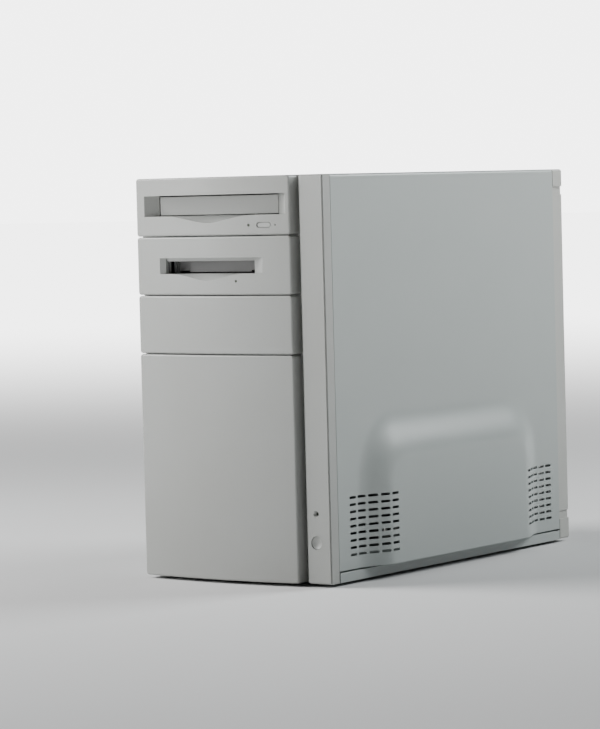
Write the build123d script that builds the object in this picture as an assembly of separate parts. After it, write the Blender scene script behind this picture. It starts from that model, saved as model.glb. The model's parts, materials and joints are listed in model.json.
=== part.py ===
from build123d import *
import os
from math import asin, cos, radians, sin, sqrt, tan

# Desktop computer tower, front towards -Y, seen from the front with +X on the right.
# Millimetres. The origin is on the floor under the middle of the case.

# ---------------------------------------------------------------- driving dimensions
case_width = 206.0
case_height = 361.5
depth = 426.0
foot_height = 3.0
bow = 8.2  # how far the drive panels bulge past the front corner of the case
bow_radius = 600.0
bow_centre = 5.0
sheet = 1.0  # steel sheet
shell = 2.5  # moulded plastic wall
gap = 0.8  # joint line between neighbouring panels

side = case_width / 2
bottom = foot_height
top = bottom + case_height
rear = depth / 2
front = bow - depth / 2  # plane of the front corner

# Front moulding
panel_right = 70.6
column_left = 76.5
panel_back = front + 10.3
bezel_plate = front + 10.5
bezel_back = front + 12.3
bay_pitch = 53.0
cd_panel_low = top - 52.5
floppy_panel_low = cd_panel_low - bay_pitch
blank_panel_low = floppy_panel_low - bay_pitch

# Steel case
steel_front = front + 13.0
cover_front = front + 12.9
cover_rear = front + 399.0
cover_low = bottom + 10.5
rail_top = bottom + 8.7
flange = 10.0  # how far a side cover turns in over the top
frame_front = front + 400.0
panel_outer = rear - 9.0  # outside face of the steel rear panel
panel_inner = panel_outer - sheet

# Raised field and vents of the side covers
field_rise = 12.0
field_ramp = 42.0
field_front = front + 44.0
field_rear = front + 358.0
field_top = bottom + 148.0
vent_rows = 9
vent_columns = 5
vent_pitch_z = 6.38
vent_pitch_y = 12.9
vent_length = 10.4
vent_height = 2.0
vent_low = bottom + 22.0
vent_front = front + 31.0
vent_rear = front + 384.0

# Bays and units
bay_centre = -16.4
cd_width, cd_length, cd_height = 146.0, 190.0, 41.3
cd_front = front + 14.2
cd_low = bottom + 306.2
door_face = front + 10.0
door_low, door_high = bottom + 327.6, bottom + 344.6
door_width = 131.0
disc_y = front + 90.0
tray_travel = 140.0
floppy_centre = -20.6
floppy_low = bottom + 266.5
floppy_front = front + 15.0
flap_axis_z = bottom + 286.0
button_x, button_z = 88.0, bottom + 36.4
led_z = bottom + 62.0

psu_left, psu_right = -65.0, 85.0
psu_low, psu_high = bottom + 272.0, bottom + 358.0
psu_front = panel_inner - 140.0
psu_fan_x, psu_fan_z = 35.5, bottom + 315.0
inlet_x, inlet_z = -28.0, bottom + 331.0
rocker_x, rocker_z = -28.0, bottom + 299.0
selector_x, selector_z = -45.0, bottom + 299.0

tray_face = 96.5  # inner face of the board tray
board_face = 89.5  # component side of the main board
board_thick = 1.6
board_size = 244.0
board_rear = panel_inner - 2.0
board_front = board_rear - board_size
board_low = bottom + 14.0
board_high = board_low + board_size
cpu_y, cpu_z = board_rear - 88.0, board_low + 178.0
slot_pitch = 20.32
slot_first = bottom + 77.0
case_fan_x, case_fan_z = -30.0, bottom + 190.0
header_y, header_low = board_front + 9.5, board_low + 21.0

os.makedirs("parts", exist_ok=True)


# ---------------------------------------------------------------- helpers
def block(x0, x1, y0, y1, z0, z1):
    centre = Pos((x0 + x1) / 2, (y0 + y1) / 2, (z0 + z1) / 2)
    return centre * Box(x1 - x0, y1 - y0, z1 - z0)


def rod(x, y, z, radius, length, axis="Z"):
    """A cylinder that starts at a point and runs along an axis."""
    turn = {"X": Rot(0, 90, 0), "Y": Rot(-90, 0, 0), "Z": Rot(0, 0, 0)}[axis]
    low = (Align.CENTER, Align.CENTER, Align.MIN)
    return Pos(x, y, z) * turn * Cylinder(radius, length, align=low)


def capsule_y(x, z, width, height, y0, y1):
    """A bar with half-round ends, its width along X, running along Y."""
    plane = Plane(origin=(x, y0, z), x_dir=(1, 0, 0), z_dir=(0, 1, 0))
    return extrude(plane * SlotOverall(width, height), y1 - y0)


def save(node, *shapes):
    solids = [solid for shape in shapes for solid in shape.solids()]
    export_step(Compound(children=solids), os.path.join("parts", node + ".step"))


def hollow_box(x0, x1, y0, y1, z0, z1, wall):
    inside = block(x0 + wall, x1 - wall, y0 + wall, y1 - wall, z0 + wall, z1 - wall)
    return block(x0, x1, y0, y1, z0, z1) - inside


def front_at(x, inset=0.0):
    """Y of the bowed front surface at x, or of a surface inset behind it."""
    return front - bow + bow_radius - sqrt((bow_radius - inset) ** 2 - (x - bow_centre) ** 2)


def bowed(x0, x1, z0, z1, inset, back):
    """A slab with the bowed front surface and a flat back."""
    points = [(x, front_at(x, inset)) for x in (x0, (x0 + x1) / 2, x1)]
    outline = ThreePointArc(*points) + Polyline(points[2], (x1, back), (x0, back), points[0])
    return extrude(Pos(0, 0, z0) * make_face(outline), z1 - z0)


def bezel_panel(z0, z1):
    """One panel of the drive column: a bowed shell, open behind, with soft edges."""
    outer = bowed(-side, panel_right, z0, z1, 0, panel_back)
    outer = fillet(outer.edges().filter_by(Axis.Y), 2.6)
    outer = fillet(outer.faces().sort_by(Axis.Y)[0].edges(), 1.8)
    inner = bowed(-side + shell, panel_right - shell, z0 + shell, z1 - shell, shell, panel_back + 1)
    return outer - inner


def recess(inner, outer, floor_y, z0, z1):
    """The space of a recess whose end walls slope from the surface to its floor."""
    reach = 1.5
    low = (outer[0] + (outer[0] - inner[0]) * reach, 0)
    high = (outer[1] + (outer[1] - inner[1]) * reach, 0)
    out_low = floor_y + (front_at(outer[0]) - floor_y) * (1 + reach)
    out_high = floor_y + (front_at(outer[1]) - floor_y) * (1 + reach)
    plan = [(inner[0], floor_y), (inner[1], floor_y), (high[0], out_high), (low[0], out_low)]
    return extrude(Pos(0, 0, z0) * make_face(Polyline(*plan, close=True)), z1 - z0)


def scoop(centre, half, drop, z, floor_y):
    """A thumb scoop below a recess: a bell curve that runs out at the recess's floor."""
    sections = []
    for y, deep in ((front - bow - 1.5, drop * 1.08), (floor_y - 0.2, 0.25)):
        bell = Spline((-half, 0), (0, -deep), (half, 0), tangents=((1, 0), (1, 0)))
        lid = Polyline((half, 0), (half, 0.6), (-half, 0.6), (-half, 0))
        plane = Plane(origin=(centre, y, z), x_dir=(1, 0, 0), z_dir=(0, -1, 0))
        sections.append(plane * make_face(bell + lid))
    return loft(sections, ruled=True)


def screw_head(x, y, z, radius, height, length, axis="Y", out=1):
    """A pan-head screw: the head stands out of the face at the point, the shank goes in."""
    turn = {("X", 1): Rot(0, 90, 0), ("X", -1): Rot(0, -90, 0), ("Y", 1): Rot(-90, 0, 0)}[axis, out]
    head = Cylinder(radius, height, align=(Align.CENTER, Align.CENTER, Align.MIN))
    head = fillet(head.edges().sort_by(Axis.Z)[-1], height * 0.45)
    slots = Box(radius * 1.1, 0.7, height) + Box(0.7, radius * 1.1, height)
    head -= Pos(0, 0, height) * slots
    shank = Cylinder(radius * 0.48, length, align=(Align.CENTER, Align.CENTER, Align.MAX))
    return Pos(x, y, z) * turn * (head + shank)


def fan_frame(size, thick):
    """A square fan frame about the origin, its axis along Z and its back at z = 0."""
    body = block(-size / 2, size / 2, -size / 2, size / 2, 0, thick)
    body = fillet(body.edges().filter_by(Axis.Z), size * 0.06)
    body -= rod(0, 0, -1, size * 0.475, thick + 2)
    hole = size * 0.447
    for x in (-hole, hole):
        for y in (-hole, hole):
            body -= rod(x, y, -1, 2.15, thick + 2)
    body += rod(0, 0, 0, size * 0.22, 3.0)
    for turn in range(4):
        arm = block(size * 0.2, size * 0.485, -1.6, 1.6, 0, 2.6)
        body += Rot(0, 0, 45 + 90 * turn - 30) * arm
    return body


def fan_rotor(size, thick, blades=7):
    """A fan hub with pitched blades, its axis along Z, clear of the frame's arms."""
    low, high = 3.6, thick - 1.5
    hub = rod(0, 0, low, size * 0.21, high - low)
    hub = fillet(hub.edges().sort_by(Axis.Z)[-1], 1.2)
    blade_r = size * 0.46
    for number in range(blades):
        blade = Rot(38, 0, 0) * block(size * 0.16, blade_r * 1.2, -size * 0.14, size * 0.14, -0.7, 0.7)
        blade = Pos(0, 0, (low + high) / 2) * blade
        ring = rod(0, 0, low + 0.3, blade_r, high - low - 0.6) - rod(0, 0, low, size * 0.2, high)
        hub += Rot(0, 0, 360 / blades * number) * (blade & ring)
    return hub


# ---------------------------------------------------------------- front moulding
def cd_opening():
    half = door_width / 2 + 0.5
    inner = (bay_centre - half, bay_centre + half)
    cut = recess(inner, (-92.4, 66.7), door_face, door_low - 0.6, door_high + 1.0)
    cut += block(*inner, door_face - 1, bezel_back + 1, door_low - 0.6, door_high + 1.0)
    return cut + scoop(-17.0, 52.0, 6.8, door_low - 0.6, door_face)


def make_cd_bezel():
    panel = bezel_panel(cd_panel_low, top)
    backing = bowed(-96.0, 68.4, bottom + 313.0, bottom + 349.0, 2.0, door_face)
    panel = panel + backing - cd_opening()
    eject = capsule_y(44.2, bottom + 317.9, 14.8, 4.9, front - 12, panel_back + 1)
    lamp = rod(28.5, front - 12, bottom + 317.8, 1.35, 30, "Y")
    pinhole = rod(56.0, front - 12, bottom + 317.7, 0.7, 30, "Y")
    save("cd_bezel", panel - eject - lamp - pinhole)


def make_floppy_bezel():
    panel = bezel_panel(floppy_panel_low, cd_panel_low - gap)
    low, high = bottom + 275.0, bottom + 289.3
    backing = bowed(-79.0, 46.0, low - 10, high + 4, 2.0, front + 4)
    panel += backing
    inner = (-69.8, 28.7)
    panel -= recess(inner, (-74.4, 42.1), front, low, high)
    panel -= block(*inner, front - 1, bezel_back, low, high)
    panel -= scoop(-19.5, 43.0, 7.2, low, front)
    panel += block(inner[0] - 1, inner[1] + 1, front + 1.5, front + 4, high - 3.0, high + 1)
    save("floppy_bezel", panel - rod(13.4, front - 12, bottom + 268.3, 1.25, 30, "Y"))


def make_plain_panels():
    save("blank_bay_cover", bezel_panel(blank_panel_low, floppy_panel_low - gap))
    save("lower_front_cover", bezel_panel(bottom, blank_panel_low - gap))


def make_front_bezel():
    column = block(column_left, side, front, bezel_back, bottom, top)
    left_edge = column.edges().filter_by(Axis.Z).group_by(Axis.X)[0].sort_by(Axis.Y)[0]
    column = fillet(left_edge, 4.0)
    column = chamfer(column.faces().sort_by(Axis.Y)[0].edges().filter_by(Axis.X), 1.2)
    column -= block(side - 1.1, side + 1, front - 1, front + 1.1, bottom - 1, top + 1)
    inner_left, inner_right = column_left + shell, side - shell
    column -= block(inner_left, inner_right, front + shell, bezel_back + 1, bottom + shell, top - shell)
    plate = block(-side, column_left + 1, bezel_plate, bezel_back, bottom, top)
    half = door_width / 2 + 3
    plate -= block(bay_centre - half, bay_centre + half, front, bezel_back + 1, bottom + 314, bottom + 348.5)
    plate -= block(-73.0, 32.0, front, bezel_back + 1, bottom + 265, bottom + 292.5)
    plate -= block(-90.0, 57.0, front, bezel_back + 1, bottom + 209, bottom + 248)
    for row in range(3):
        low = bottom + 21 + row * 58
        plate -= block(-85.0, 52.0, front, bezel_back + 1, low, low + 40)
    bezel = column + plate
    bezel += rod(button_x, front + 1, button_z, 8.2, 7.5, "Y")
    bezel -= rod(button_x, front - 1, button_z, 6.05, 12, "Y")
    bezel += rod(button_x, front + 1, led_z, 4.0, 6.0, "Y")
    bezel -= rod(button_x, front - 1, led_z, 1.65, 12, "Y")
    dimple = Pos(button_x, front + 0.9, led_z) * Rot(90, 0, 0) * Cone(1.6, 3.0, 1.9)
    save("front_bezel", bezel - dimple)


def make_power_button():
    cap = rod(button_x, front + 0.7, button_z, 5.95, 8.2, "Y")
    cap = fillet(cap.edges().sort_by(Axis.Y)[0], 1.0)
    cap -= Pos(button_x, front - 39.0, button_z) * Sphere(40.0)
    cap += rod(button_x, front + 8.7, button_z, 7.2, 1.6, "Y")
    cap += rod(button_x, front + 10.2, button_z, 1.5, 8.4, "Y")
    save("power_button", cap)
    wall = steel_front + sheet
    body = block(button_x - 6, button_x + 6, wall + 1, wall + 13, button_z - 6, button_z + 6)
    body += block(button_x - 8.5, button_x + 8.5, wall, wall + 1.1, button_z - 12, button_z + 12)
    save("power_switch", body - rod(button_x, wall - 1, button_z, 1.55, 10.0, "Y"))


def lamp(x, z, start, stop, radius):
    """A light pipe that shows at the front as a dot."""
    return rod(x, start, z, radius, stop - start, "Y")


def make_lamps():
    disc = lamp(28.5, bottom + 317.8, front_at(28.5) + 0.4, cd_front + 4, 1.25)
    floppy = lamp(13.4, bottom + 268.3, front_at(13.4) + 0.4, floppy_front - 0.1, 1.15)
    power = lamp(button_x, led_z, front + 3.2, front + 10, 1.5)
    power += lamp(button_x, led_z, front + 9.9, front + 11.6, 2.4)
    save("indicator_lamps", disc, floppy, power)


# ---------------------------------------------------------------- steel case
def make_base_pan():
    skirt = [(side, bottom), (side, rail_top), (98.5, rail_top), (98.5, bottom + 24)]
    skirt += [(97.5, bottom + 24), (97.5, rail_top - sheet), (side - sheet, rail_top - sheet)]
    skirt += [(side - sheet, bottom + sheet)]
    left = [(-x, z) for x, z in reversed(skirt)]
    start = steel_front + sheet
    plane = Plane(origin=(0, start, 0), x_dir=(1, 0, 0), z_dir=(0, -1, 0))
    section = plane * make_face(Polyline(*skirt, *left, close=True))
    save("base_pan", extrude(section, -(cover_rear - start)))
    feet = [rod(x, y, 0, 8.0, foot_height) for x in (-82.0, 82.0) for y in (front + 38, rear - 38)]
    save("feet", *[fillet(foot.edges().sort_by(Axis.Z)[0], 0.8) for foot in feet])


def make_front_plate():
    z1 = top - 2
    plate = block(-101.0, 101.0, steel_front, steel_front + sheet, bottom + sheet, z1)
    half = cd_width / 2 + 0.6
    x0, x1 = bay_centre - half, bay_centre + half
    plate -= block(x0, x1, front, front + 20, cd_low - 1, cd_low + cd_height + 1)
    plate -= block(x0, x1, front, front + 20, bottom + 262, bottom + 296)
    plate -= block(-80.0, 50.0, front, front + 20, bottom + 212, bottom + 246)
    plate -= rod(button_x, front, button_z, 8.0, 20, "Y")
    plate -= rod(button_x, front, led_z, 3.0, 20, "Y")
    for row in range(7):
        for column in range(9):
            plate -= rod(-56.0 + column * 9, front, bottom + 32 + row * 9, 3.0, 20, "Y")
    save("front_plate", plate)


def field_section(share):
    """Outline of the raised field at a share of its rise, in the cover's plane."""
    inset = field_ramp * (0.5 - sin(asin(1 - 2 * share) / 3))
    y0, y1 = field_front + inset, field_rear - inset
    high = field_top - inset
    low = bottom - 60 + inset
    radius = 62.0 - inset
    plane = Plane(origin=(0, (y0 + y1) / 2, (low + high) / 2), x_dir=(0, 1, 0), z_dir=(1, 0, 0))
    return plane * RectangleRounded(y1 - y0, high - low, radius)


def field_solid(x_base, rise):
    """The raised field as a stack of ruled bands, cut off level with the cover's hem."""
    shares = (0.0, 0.05, 0.2, 0.5, 0.8, 0.95, 1.0)
    sections = [Pos(x_base + rise * share, 0, 0) * field_section(share) for share in shares]
    below = block(side - 20, side + 30, front, rear, bottom - 90, cover_low)
    return loft(sections, ruled=True) - below


def make_side_covers():
    skin = block(side - 16, side, cover_front, cover_rear, cover_low, top)
    skin = fillet(skin.edges().filter_by(Axis.Y).group_by(Axis.Z)[-1].sort_by(Axis.X)[-1], 3.0)
    inner = block(side - 17, side - sheet, cover_front - 1, cover_rear + 1, cover_low - 1, top - sheet)
    inner = fillet(inner.edges().filter_by(Axis.Y).group_by(Axis.Z)[-1].sort_by(Axis.X)[-1], 2.0)
    cover = skin - inner
    cover -= block(side - 17, side - flange, cover_front - 1, cover_rear + 1, top - 5, top + 1)
    cover += field_solid(side - 0.5, field_rise + 0.5)
    cover -= field_solid(side - 0.5 - sheet, field_rise + 0.5)
    outer = side + field_rise + 2
    slots = []
    for group in (vent_front, vent_rear - vent_length - (vent_columns - 1) * vent_pitch_y):
        for column in range(vent_columns):
            y = group + column * vent_pitch_y
            for row in range(vent_rows):
                z = vent_low + row * vent_pitch_z
                slots.append(block(side - 3, outer, y, y + vent_length, z, z + vent_height))
    cover -= slots
    save("right_side_cover", cover)
    save("left_side_cover", mirror(cover, Plane.YZ))


def make_rear_frame():
    ring = block(-side, side, frame_front, rear, bottom, top)
    ring = fillet(ring.edges().filter_by(Axis.Y), 2.5)
    ring = fillet(ring.faces().sort_by(Axis.Y)[-1].edges(), 1.2)
    ring -= block(-side + 3, side - 3, frame_front - 1, rear + 1, bottom + 3, top - 3)
    for hand in (-1, 1):
        x0, x1 = sorted((hand * (side - 0.9), hand * (side + 1)))
        ring -= block(x0, x1, frame_front - 1, rear + 1, bottom + 27.5, bottom + 337)
        for low in (bottom + 20, bottom + 337):
            x0, x1 = sorted((hand * (side - 2.0), hand * (side + 1)))
            ring -= block(x0, x1, frame_front - 1, rear + 1, low, low + 7.8)
    save("rear_frame", ring)


def rear_screw_places():
    """X, Z of the screws on the back: those of the supply and those of the case fan."""
    supply = [(psu_left + 6, psu_high - 6), (psu_right - 6, psu_high - 6)]
    supply += [(psu_left + 6, psu_low + 6), (psu_right - 6, psu_low + 16)]
    reach = 80 * 0.447
    fan = [(case_fan_x + a * reach, case_fan_z + b * reach) for a in (-1, 1) for b in (-1, 1)]
    return supply, fan


def slot_z(number):
    return slot_first - number * slot_pitch


def make_rear_panel():
    panel = block(-side + 3.2, side - 3.2, panel_inner, panel_outer, bottom + 3.2, top - 3.2)
    through = (panel_inner - 1, panel_outer + 1)
    panel -= block(psu_left + 12, psu_right - 12, *through, psu_low + 3, psu_high - 3)
    panel -= block(44.5, board_face + 0.6, *through, bottom + 93, bottom + 251.7)
    for number in range(4):
        panel -= block(-20, 86, *through, slot_z(number) - 7.5, slot_z(number) + 7.5)
    for ring, count in ((0, 1), (7.2, 6), (14.4, 12), (21.6, 18), (28.8, 24), (35.4, 30)):
        for hole in range(count):
            turn = radians(360 / count * hole)
            x, z = case_fan_x + ring * cos(turn), case_fan_z + ring * sin(turn)
            panel -= rod(x, panel_inner - 1, z, 2.7, 4, "Y")
    supply, fan = rear_screw_places()
    for x, z in supply + fan:
        panel -= rod(x, panel_inner - 1, z, 1.7, 4, "Y")
    save("rear_panel", panel)


def make_top_and_tray():
    lid_x = side - flange - 0.5
    lid = block(-lid_x, lid_x, cover_front, cover_rear, top - sheet, top)
    for hand in (-1, 1):
        x0, x1 = sorted((hand * (lid_x - 6), hand * (lid_x - 7)))
        lid += block(x0, x1, cover_front + 12, cover_rear - 6, top - 9, top)
    save("top_cover", lid)
    start, low, high = board_front - 20, bottom + 6, bottom + 264
    tray = block(tray_face, tray_face + sheet, start, panel_inner - 0.1, low, high)
    tray -= block(tray_face - 1, tray_face + 2, start + 70, start + 110, bottom + 55, bottom + 91)
    tray += block(tray_face - 7, tray_face, start, start + sheet, low, high)
    save("board_tray", tray)


def make_cage():
    half = cd_width / 2 + 0.3
    left, right = bay_centre - half, bay_centre + half
    start, stop = steel_front + sheet, front + 160
    low, high = bottom + 203, bottom + 349.5
    cage = block(left - 1, right + 1, start, stop, low, high)
    cage -= block(left, right, start - 1, stop + 1, low + 1, high + 1)
    for height in (22, 64, 120):
        for y in (50, 110):
            cage -= block(-120, 90, front + y, front + y + 30, low + height, low + height + 5)
    save("drive_cage", cage)

    inner_left, inner_right = floppy_centre - 51.0, floppy_centre + 51.0
    floor = floppy_low - 1.3
    shelf = block(left + 0.1, right - 0.1, front + 22, front + 150, floor, floor + sheet)
    hanger = block(inner_left - 1, inner_right + 1, front + 34, front + 150, low - 1, low)
    for x in (inner_left - 1, inner_right):
        shelf += block(x, x + 1, front + 22, front + 150, floor, floppy_low + 18)
        hanger += block(x, x + 1, front + 34, front + 150, bottom + 158, low)
    for y in (60, 105):
        hanger -= block(-90, 50, front + y, front + y + 22, bottom + 190, bottom + 196)
    save("drive_brackets", shelf, hanger)


def make_cd_drive():
    x0, x1 = bay_centre - cd_width / 2, bay_centre + cd_width / 2
    y1 = cd_front + cd_length
    case = hollow_box(x0, x1, cd_front, y1, cd_low, cd_low + cd_height, 0.8)
    case -= block(x0 + 0.8, x1 - 0.8, cd_front - 1, cd_front + 1, cd_low + 0.8, cd_low + cd_height - 0.8)
    for x in (x0, x1):
        for y in (40, 120):
            case -= rod(x - 2, cd_front + y, cd_low + 10, 1.5, 4, "X")
    case += block(-33, 20, y1 - 0.5, y1 + 3, cd_low + 6, cd_low + 14)
    case += block(x1 - 34, x1 - 10, y1 - 0.5, y1 + 3, cd_low + 6, cd_low + 16)
    save("cd_drive_case", case)
    tray_low, tray_high = door_low + 2, door_low + 8.4
    tray = block(bay_centre - 64, bay_centre + 64, door_face + 3, front + 180, tray_low, tray_high)
    tray -= rod(bay_centre, disc_y, tray_high - 1.8, 60.5, 5)
    tray -= rod(bay_centre, disc_y, tray_high - 2.8, 40.5, 5)
    tray -= block(bay_centre - 19, bay_centre + 19, disc_y - 19, front + 160, tray_low - 1, tray_high + 1)
    save("cd_tray", tray)
    half = door_width / 2
    door = block(bay_centre - half, bay_centre + half, door_face, door_face + 3, door_low, door_high)
    save("cd_tray_door", fillet(door.faces().sort_by(Axis.Y)[0].edges(), 0.7))
    hub = rod(bay_centre, disc_y, door_low - 3.4, 13.0, 4.8)
    hub = fillet(hub.edges().sort_by(Axis.Z)[-1], 0.8)
    save("cd_spindle", hub + rod(bay_centre, disc_y, door_low - 9, 1.5, 6))
    motor = rod(bay_centre, disc_y, cd_low + 3, 14.0, door_low - 4.4 - cd_low - 3)
    plate = block(x0 + 6, x1 - 6, cd_front + 12, y1 - 40, cd_low + 1.6, cd_low + 3)
    motor -= rod(bay_centre, disc_y, cd_low + 6, 1.56, 20)
    rail_z = cd_low + 9
    for x in (bay_centre - 24, bay_centre + 24):
        plate += rod(x, disc_y + 10, rail_z, 1.5, 74, "Y")
        for y in (disc_y + 8, disc_y + 82):
            plate += block(x - 3, x + 3, y, y + 3, cd_low + 3, rail_z + 3)
    save("cd_mechanism", plate + motor)
    sled = block(bay_centre - 28, bay_centre + 28, disc_y + 17, disc_y + 39, rail_z - 3.5, rail_z + 3.5)
    for x in (bay_centre - 24, bay_centre + 24):
        sled -= rod(x, disc_y, rail_z, 1.56, 100, "Y")
    save("laser_sled", sled + rod(bay_centre, disc_y + 28, rail_z + 3, 3.5, 4.5))
    button = capsule_y(44.2, bottom + 317.9, 14.2, 4.3, front_at(44.2) + 0.3, cd_front + 6)
    save("cd_eject_button", fillet(button.edges().group_by(Axis.Y)[0], 0.5))


def make_floppy_drive():
    x0, x1 = floppy_centre - 50.8, floppy_centre + 50.8
    y1 = floppy_front + 146
    case = hollow_box(x0, x1, floppy_front, y1, floppy_low, floppy_low + 25.4, 0.8)
    case -= block(x0 + 3.4, x1 - 3.4, floppy_front - 1, floppy_front + 1, floppy_low + 8, floppy_low + 22.5)
    case += block(-64, -18, y1 - 0.5, y1 + 3, floppy_low + 8, floppy_low + 15)
    save("floppy_drive_case", case)
    hinge_y = floppy_front + 2.4
    half = 45.5
    left, right = floppy_centre - half, floppy_centre + half
    face, back = hinge_y - 0.9, hinge_y + 0.5
    flap = block(left, right, face, back, flap_axis_z - 8.4, flap_axis_z)
    flap += block(left + 11, right - 11, face, back, flap_axis_z - 10, flap_axis_z - 8)
    flap += rod(left - 1.6, hinge_y, flap_axis_z, 0.9, 2 * half + 3.2, "X")
    save("floppy_flap", flap)
    guide = block(x0 + 1, x1 - 1, floppy_front + 1, floppy_front + 40, floppy_low + 1, floppy_low + 8)
    for a, b in ((x0 + 1, x0 + 4.6), (x1 - 4.6, x1 - 1)):
        guide += block(a, b, floppy_front + 1, floppy_front + 40, floppy_low + 1, floppy_low + 24)
    guide -= rod(x0 + 2, hinge_y, flap_axis_z, 0.95, 2 * 48.8, "X")
    save("floppy_guide", guide)


def make_hard_disk():
    x0, x1 = floppy_centre - 50.8, floppy_centre + 50.8
    y0, y1 = front + 36, front + 183
    body = block(x0, x1, y0, y1, bottom + 162, bottom + 187)
    body = fillet(body.edges().filter_by(Axis.Z), 3)
    lid = block(x0 + 3, x1 - 3, y0 + 3, y1 - 3, bottom + 187, bottom + 188)
    body += fillet(lid.edges().filter_by(Axis.Z), 5)
    body += rod(floppy_centre, y0 + 52, bottom + 187, 16, 1.8)
    save("hard_disk", body)
    card = block(x0 + 4, x1 - 4, y0 + 30, y1 - 1, bottom + 160.2, bottom + 161.8)
    card += block(x0 + 38, x0 + 92, y1 - 9, y1 + 1, bottom + 154, bottom + 160.4)
    card += block(x0 + 8, x0 + 30, y1 - 10, y1 + 1, bottom + 153, bottom + 160.4)
    for x, y in ((x0 + 20, y0 + 60), (x0 + 52, y0 + 70), (x0 + 72, y0 + 100)):
        card += block(x, x + 16, y, y + 16, bottom + 158.4, bottom + 160.4)
    save("hard_disk_board", card)


def make_power_supply():
    case = hollow_box(psu_left, psu_right, psu_front, panel_inner, psu_low, psu_high, sheet)
    wall = (panel_inner - 2, panel_inner + 1)
    case -= rod(psu_fan_x, panel_inner - 3, psu_fan_z, 38.0, 5, "Y")
    case -= block(inlet_x - 13.6, inlet_x + 13.6, *wall, inlet_z - 10.1, inlet_z + 10.1)
    case -= block(rocker_x - 6.1, rocker_x + 6.1, *wall, rocker_z - 9.6, rocker_z + 9.6)
    case -= block(selector_x - 3.1, selector_x + 3.1, *wall, selector_z - 7.1, selector_z + 7.1)
    for row in range(6):
        for column in range(3):
            x0, z0 = psu_left + 18 + column * 42, psu_low + 18 + row * 9
            case -= block(x0, x0 + 30, psu_front - 1, psu_front + 2, z0, z0 + 4)
    supply, _ = rear_screw_places()
    for x, z in supply:
        case -= rod(x, panel_inner - 4, z, 1.7, 5, "Y")
    case -= rod(psu_left + 70, psu_front - 1, psu_low + 8, 6.0, 3, "Y")
    save("psu_case", case)

    board = block(psu_left + 6, psu_right - 6, psu_front + 6, panel_inner - 34, psu_low + 6, psu_low + 7.6)
    parts = block(-20, 14, 90, 126, psu_low + 7.6, psu_low + 44)
    parts += block(40, 62, 84, 110, psu_low + 7.6, psu_low + 34)
    for x, y in ((-46, 84), (-46, 112)):
        parts += rod(x, y, psu_low + 7.6, 11, 38)
    for x, y in ((30, 78), (30, 92), (72, 90)):
        parts += rod(x, y, psu_low + 7.6, 5, 22)
    for x in (-28, 22):
        parts += block(x, x + 3, 80, 150, psu_low + 7.6, psu_low + 60)
    save("psu_board", board + parts)

    wall = panel_inner
    inlet = block(inlet_x - 15.5, inlet_x + 15.5, wall, wall + 2.4, inlet_z - 12, inlet_z + 12)
    inlet = fillet(inlet.edges().filter_by(Axis.Y), 2)
    inlet += block(inlet_x - 13.4, inlet_x + 13.4, wall - 19, wall, inlet_z - 9.9, inlet_z + 9.9)
    mouth = block(inlet_x - 12, inlet_x + 12, wall - 17, wall + 4, inlet_z - 8.2, inlet_z + 8.2)
    mouth = chamfer(mouth.edges().filter_by(Axis.Y).group_by(Axis.Z)[-1], 4)
    inlet -= mouth
    for x, z in ((-7, -1.5), (0, 2.5), (7, -1.5)):
        x0, z0 = inlet_x + x - 1, inlet_z + z - 2
        inlet += block(x0, x0 + 2, wall - 17.5, wall - 5, z0, z0 + 4)
    save("psu_inlet", inlet)

    pivot_y = wall - 4.2
    frame = block(rocker_x - 7.5, rocker_x + 7.5, wall, wall + 1.6, rocker_z - 11, rocker_z + 11)
    frame = fillet(frame.edges().filter_by(Axis.Y), 1.5)
    frame += block(rocker_x - 6, rocker_x + 6, wall - 14, wall, rocker_z - 9.5, rocker_z + 9.5)
    frame -= block(rocker_x - 4.8, rocker_x + 4.8, wall - 11, wall + 3, rocker_z - 8.7, rocker_z + 8.7)
    frame -= rod(rocker_x - 5.5, pivot_y, rocker_z, 1.05, 11, "X")
    profile = [(-7.4, -4.6), (7.4, -4.6), (7.4, 2.6), (0, 1.0), (-7.4, 2.6)]
    plane = Plane(origin=(rocker_x - 4.5, wall, rocker_z), x_dir=(0, 0, 1), z_dir=(-1, 0, 0))
    rocker = extrude(plane * make_face(Polyline(*profile, close=True)), -9.0)
    rocker += rod(rocker_x - 5.3, pivot_y, rocker_z, 1.0, 10.6, "X")
    tilt = Pos(0, pivot_y, rocker_z) * Rot(8, 0, 0) * Pos(0, -pivot_y, -rocker_z)
    save("psu_rocker", tilt * rocker)

    body = block(selector_x - 3, selector_x + 3, wall - 9, wall, selector_z - 7, selector_z + 7)
    body += block(selector_x - 5, selector_x + 5, wall, wall + 1, selector_z - 9, selector_z + 9)
    body -= block(selector_x - 2.2, selector_x + 2.2, wall - 5, wall + 2, selector_z - 5.2, selector_z + 5.2)
    save("psu_switch_frames", frame, body)
    left, right = selector_x - 2.15, selector_x + 2.15
    slider = block(left, right, wall - 4.5, wall + 0.7, selector_z - 5, selector_z + 0.5)
    slider -= block(left - 1, right + 1, wall - 0.2, wall + 1, selector_z - 2.7, selector_z - 1.8)
    save("voltage_selector", slider)

    grille = []
    for radius in (9, 17, 25, 33):
        place = Pos(psu_fan_x, panel_outer + 1.0, psu_fan_z) * Rot(90, 0, 0)
        grille.append(place * Torus(radius, 0.8))
    for turn in (45, 135, 225, 315):
        spoke = Rot(0, -turn, 0) * rod(5, 0, 0, 0.8, 40.5, "X")
        grille.append(Pos(psu_fan_x, panel_outer + 2.0, psu_fan_z) * spoke)
    save("psu_fan_grille", grille[0].fuse(*grille[1:]))


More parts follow.
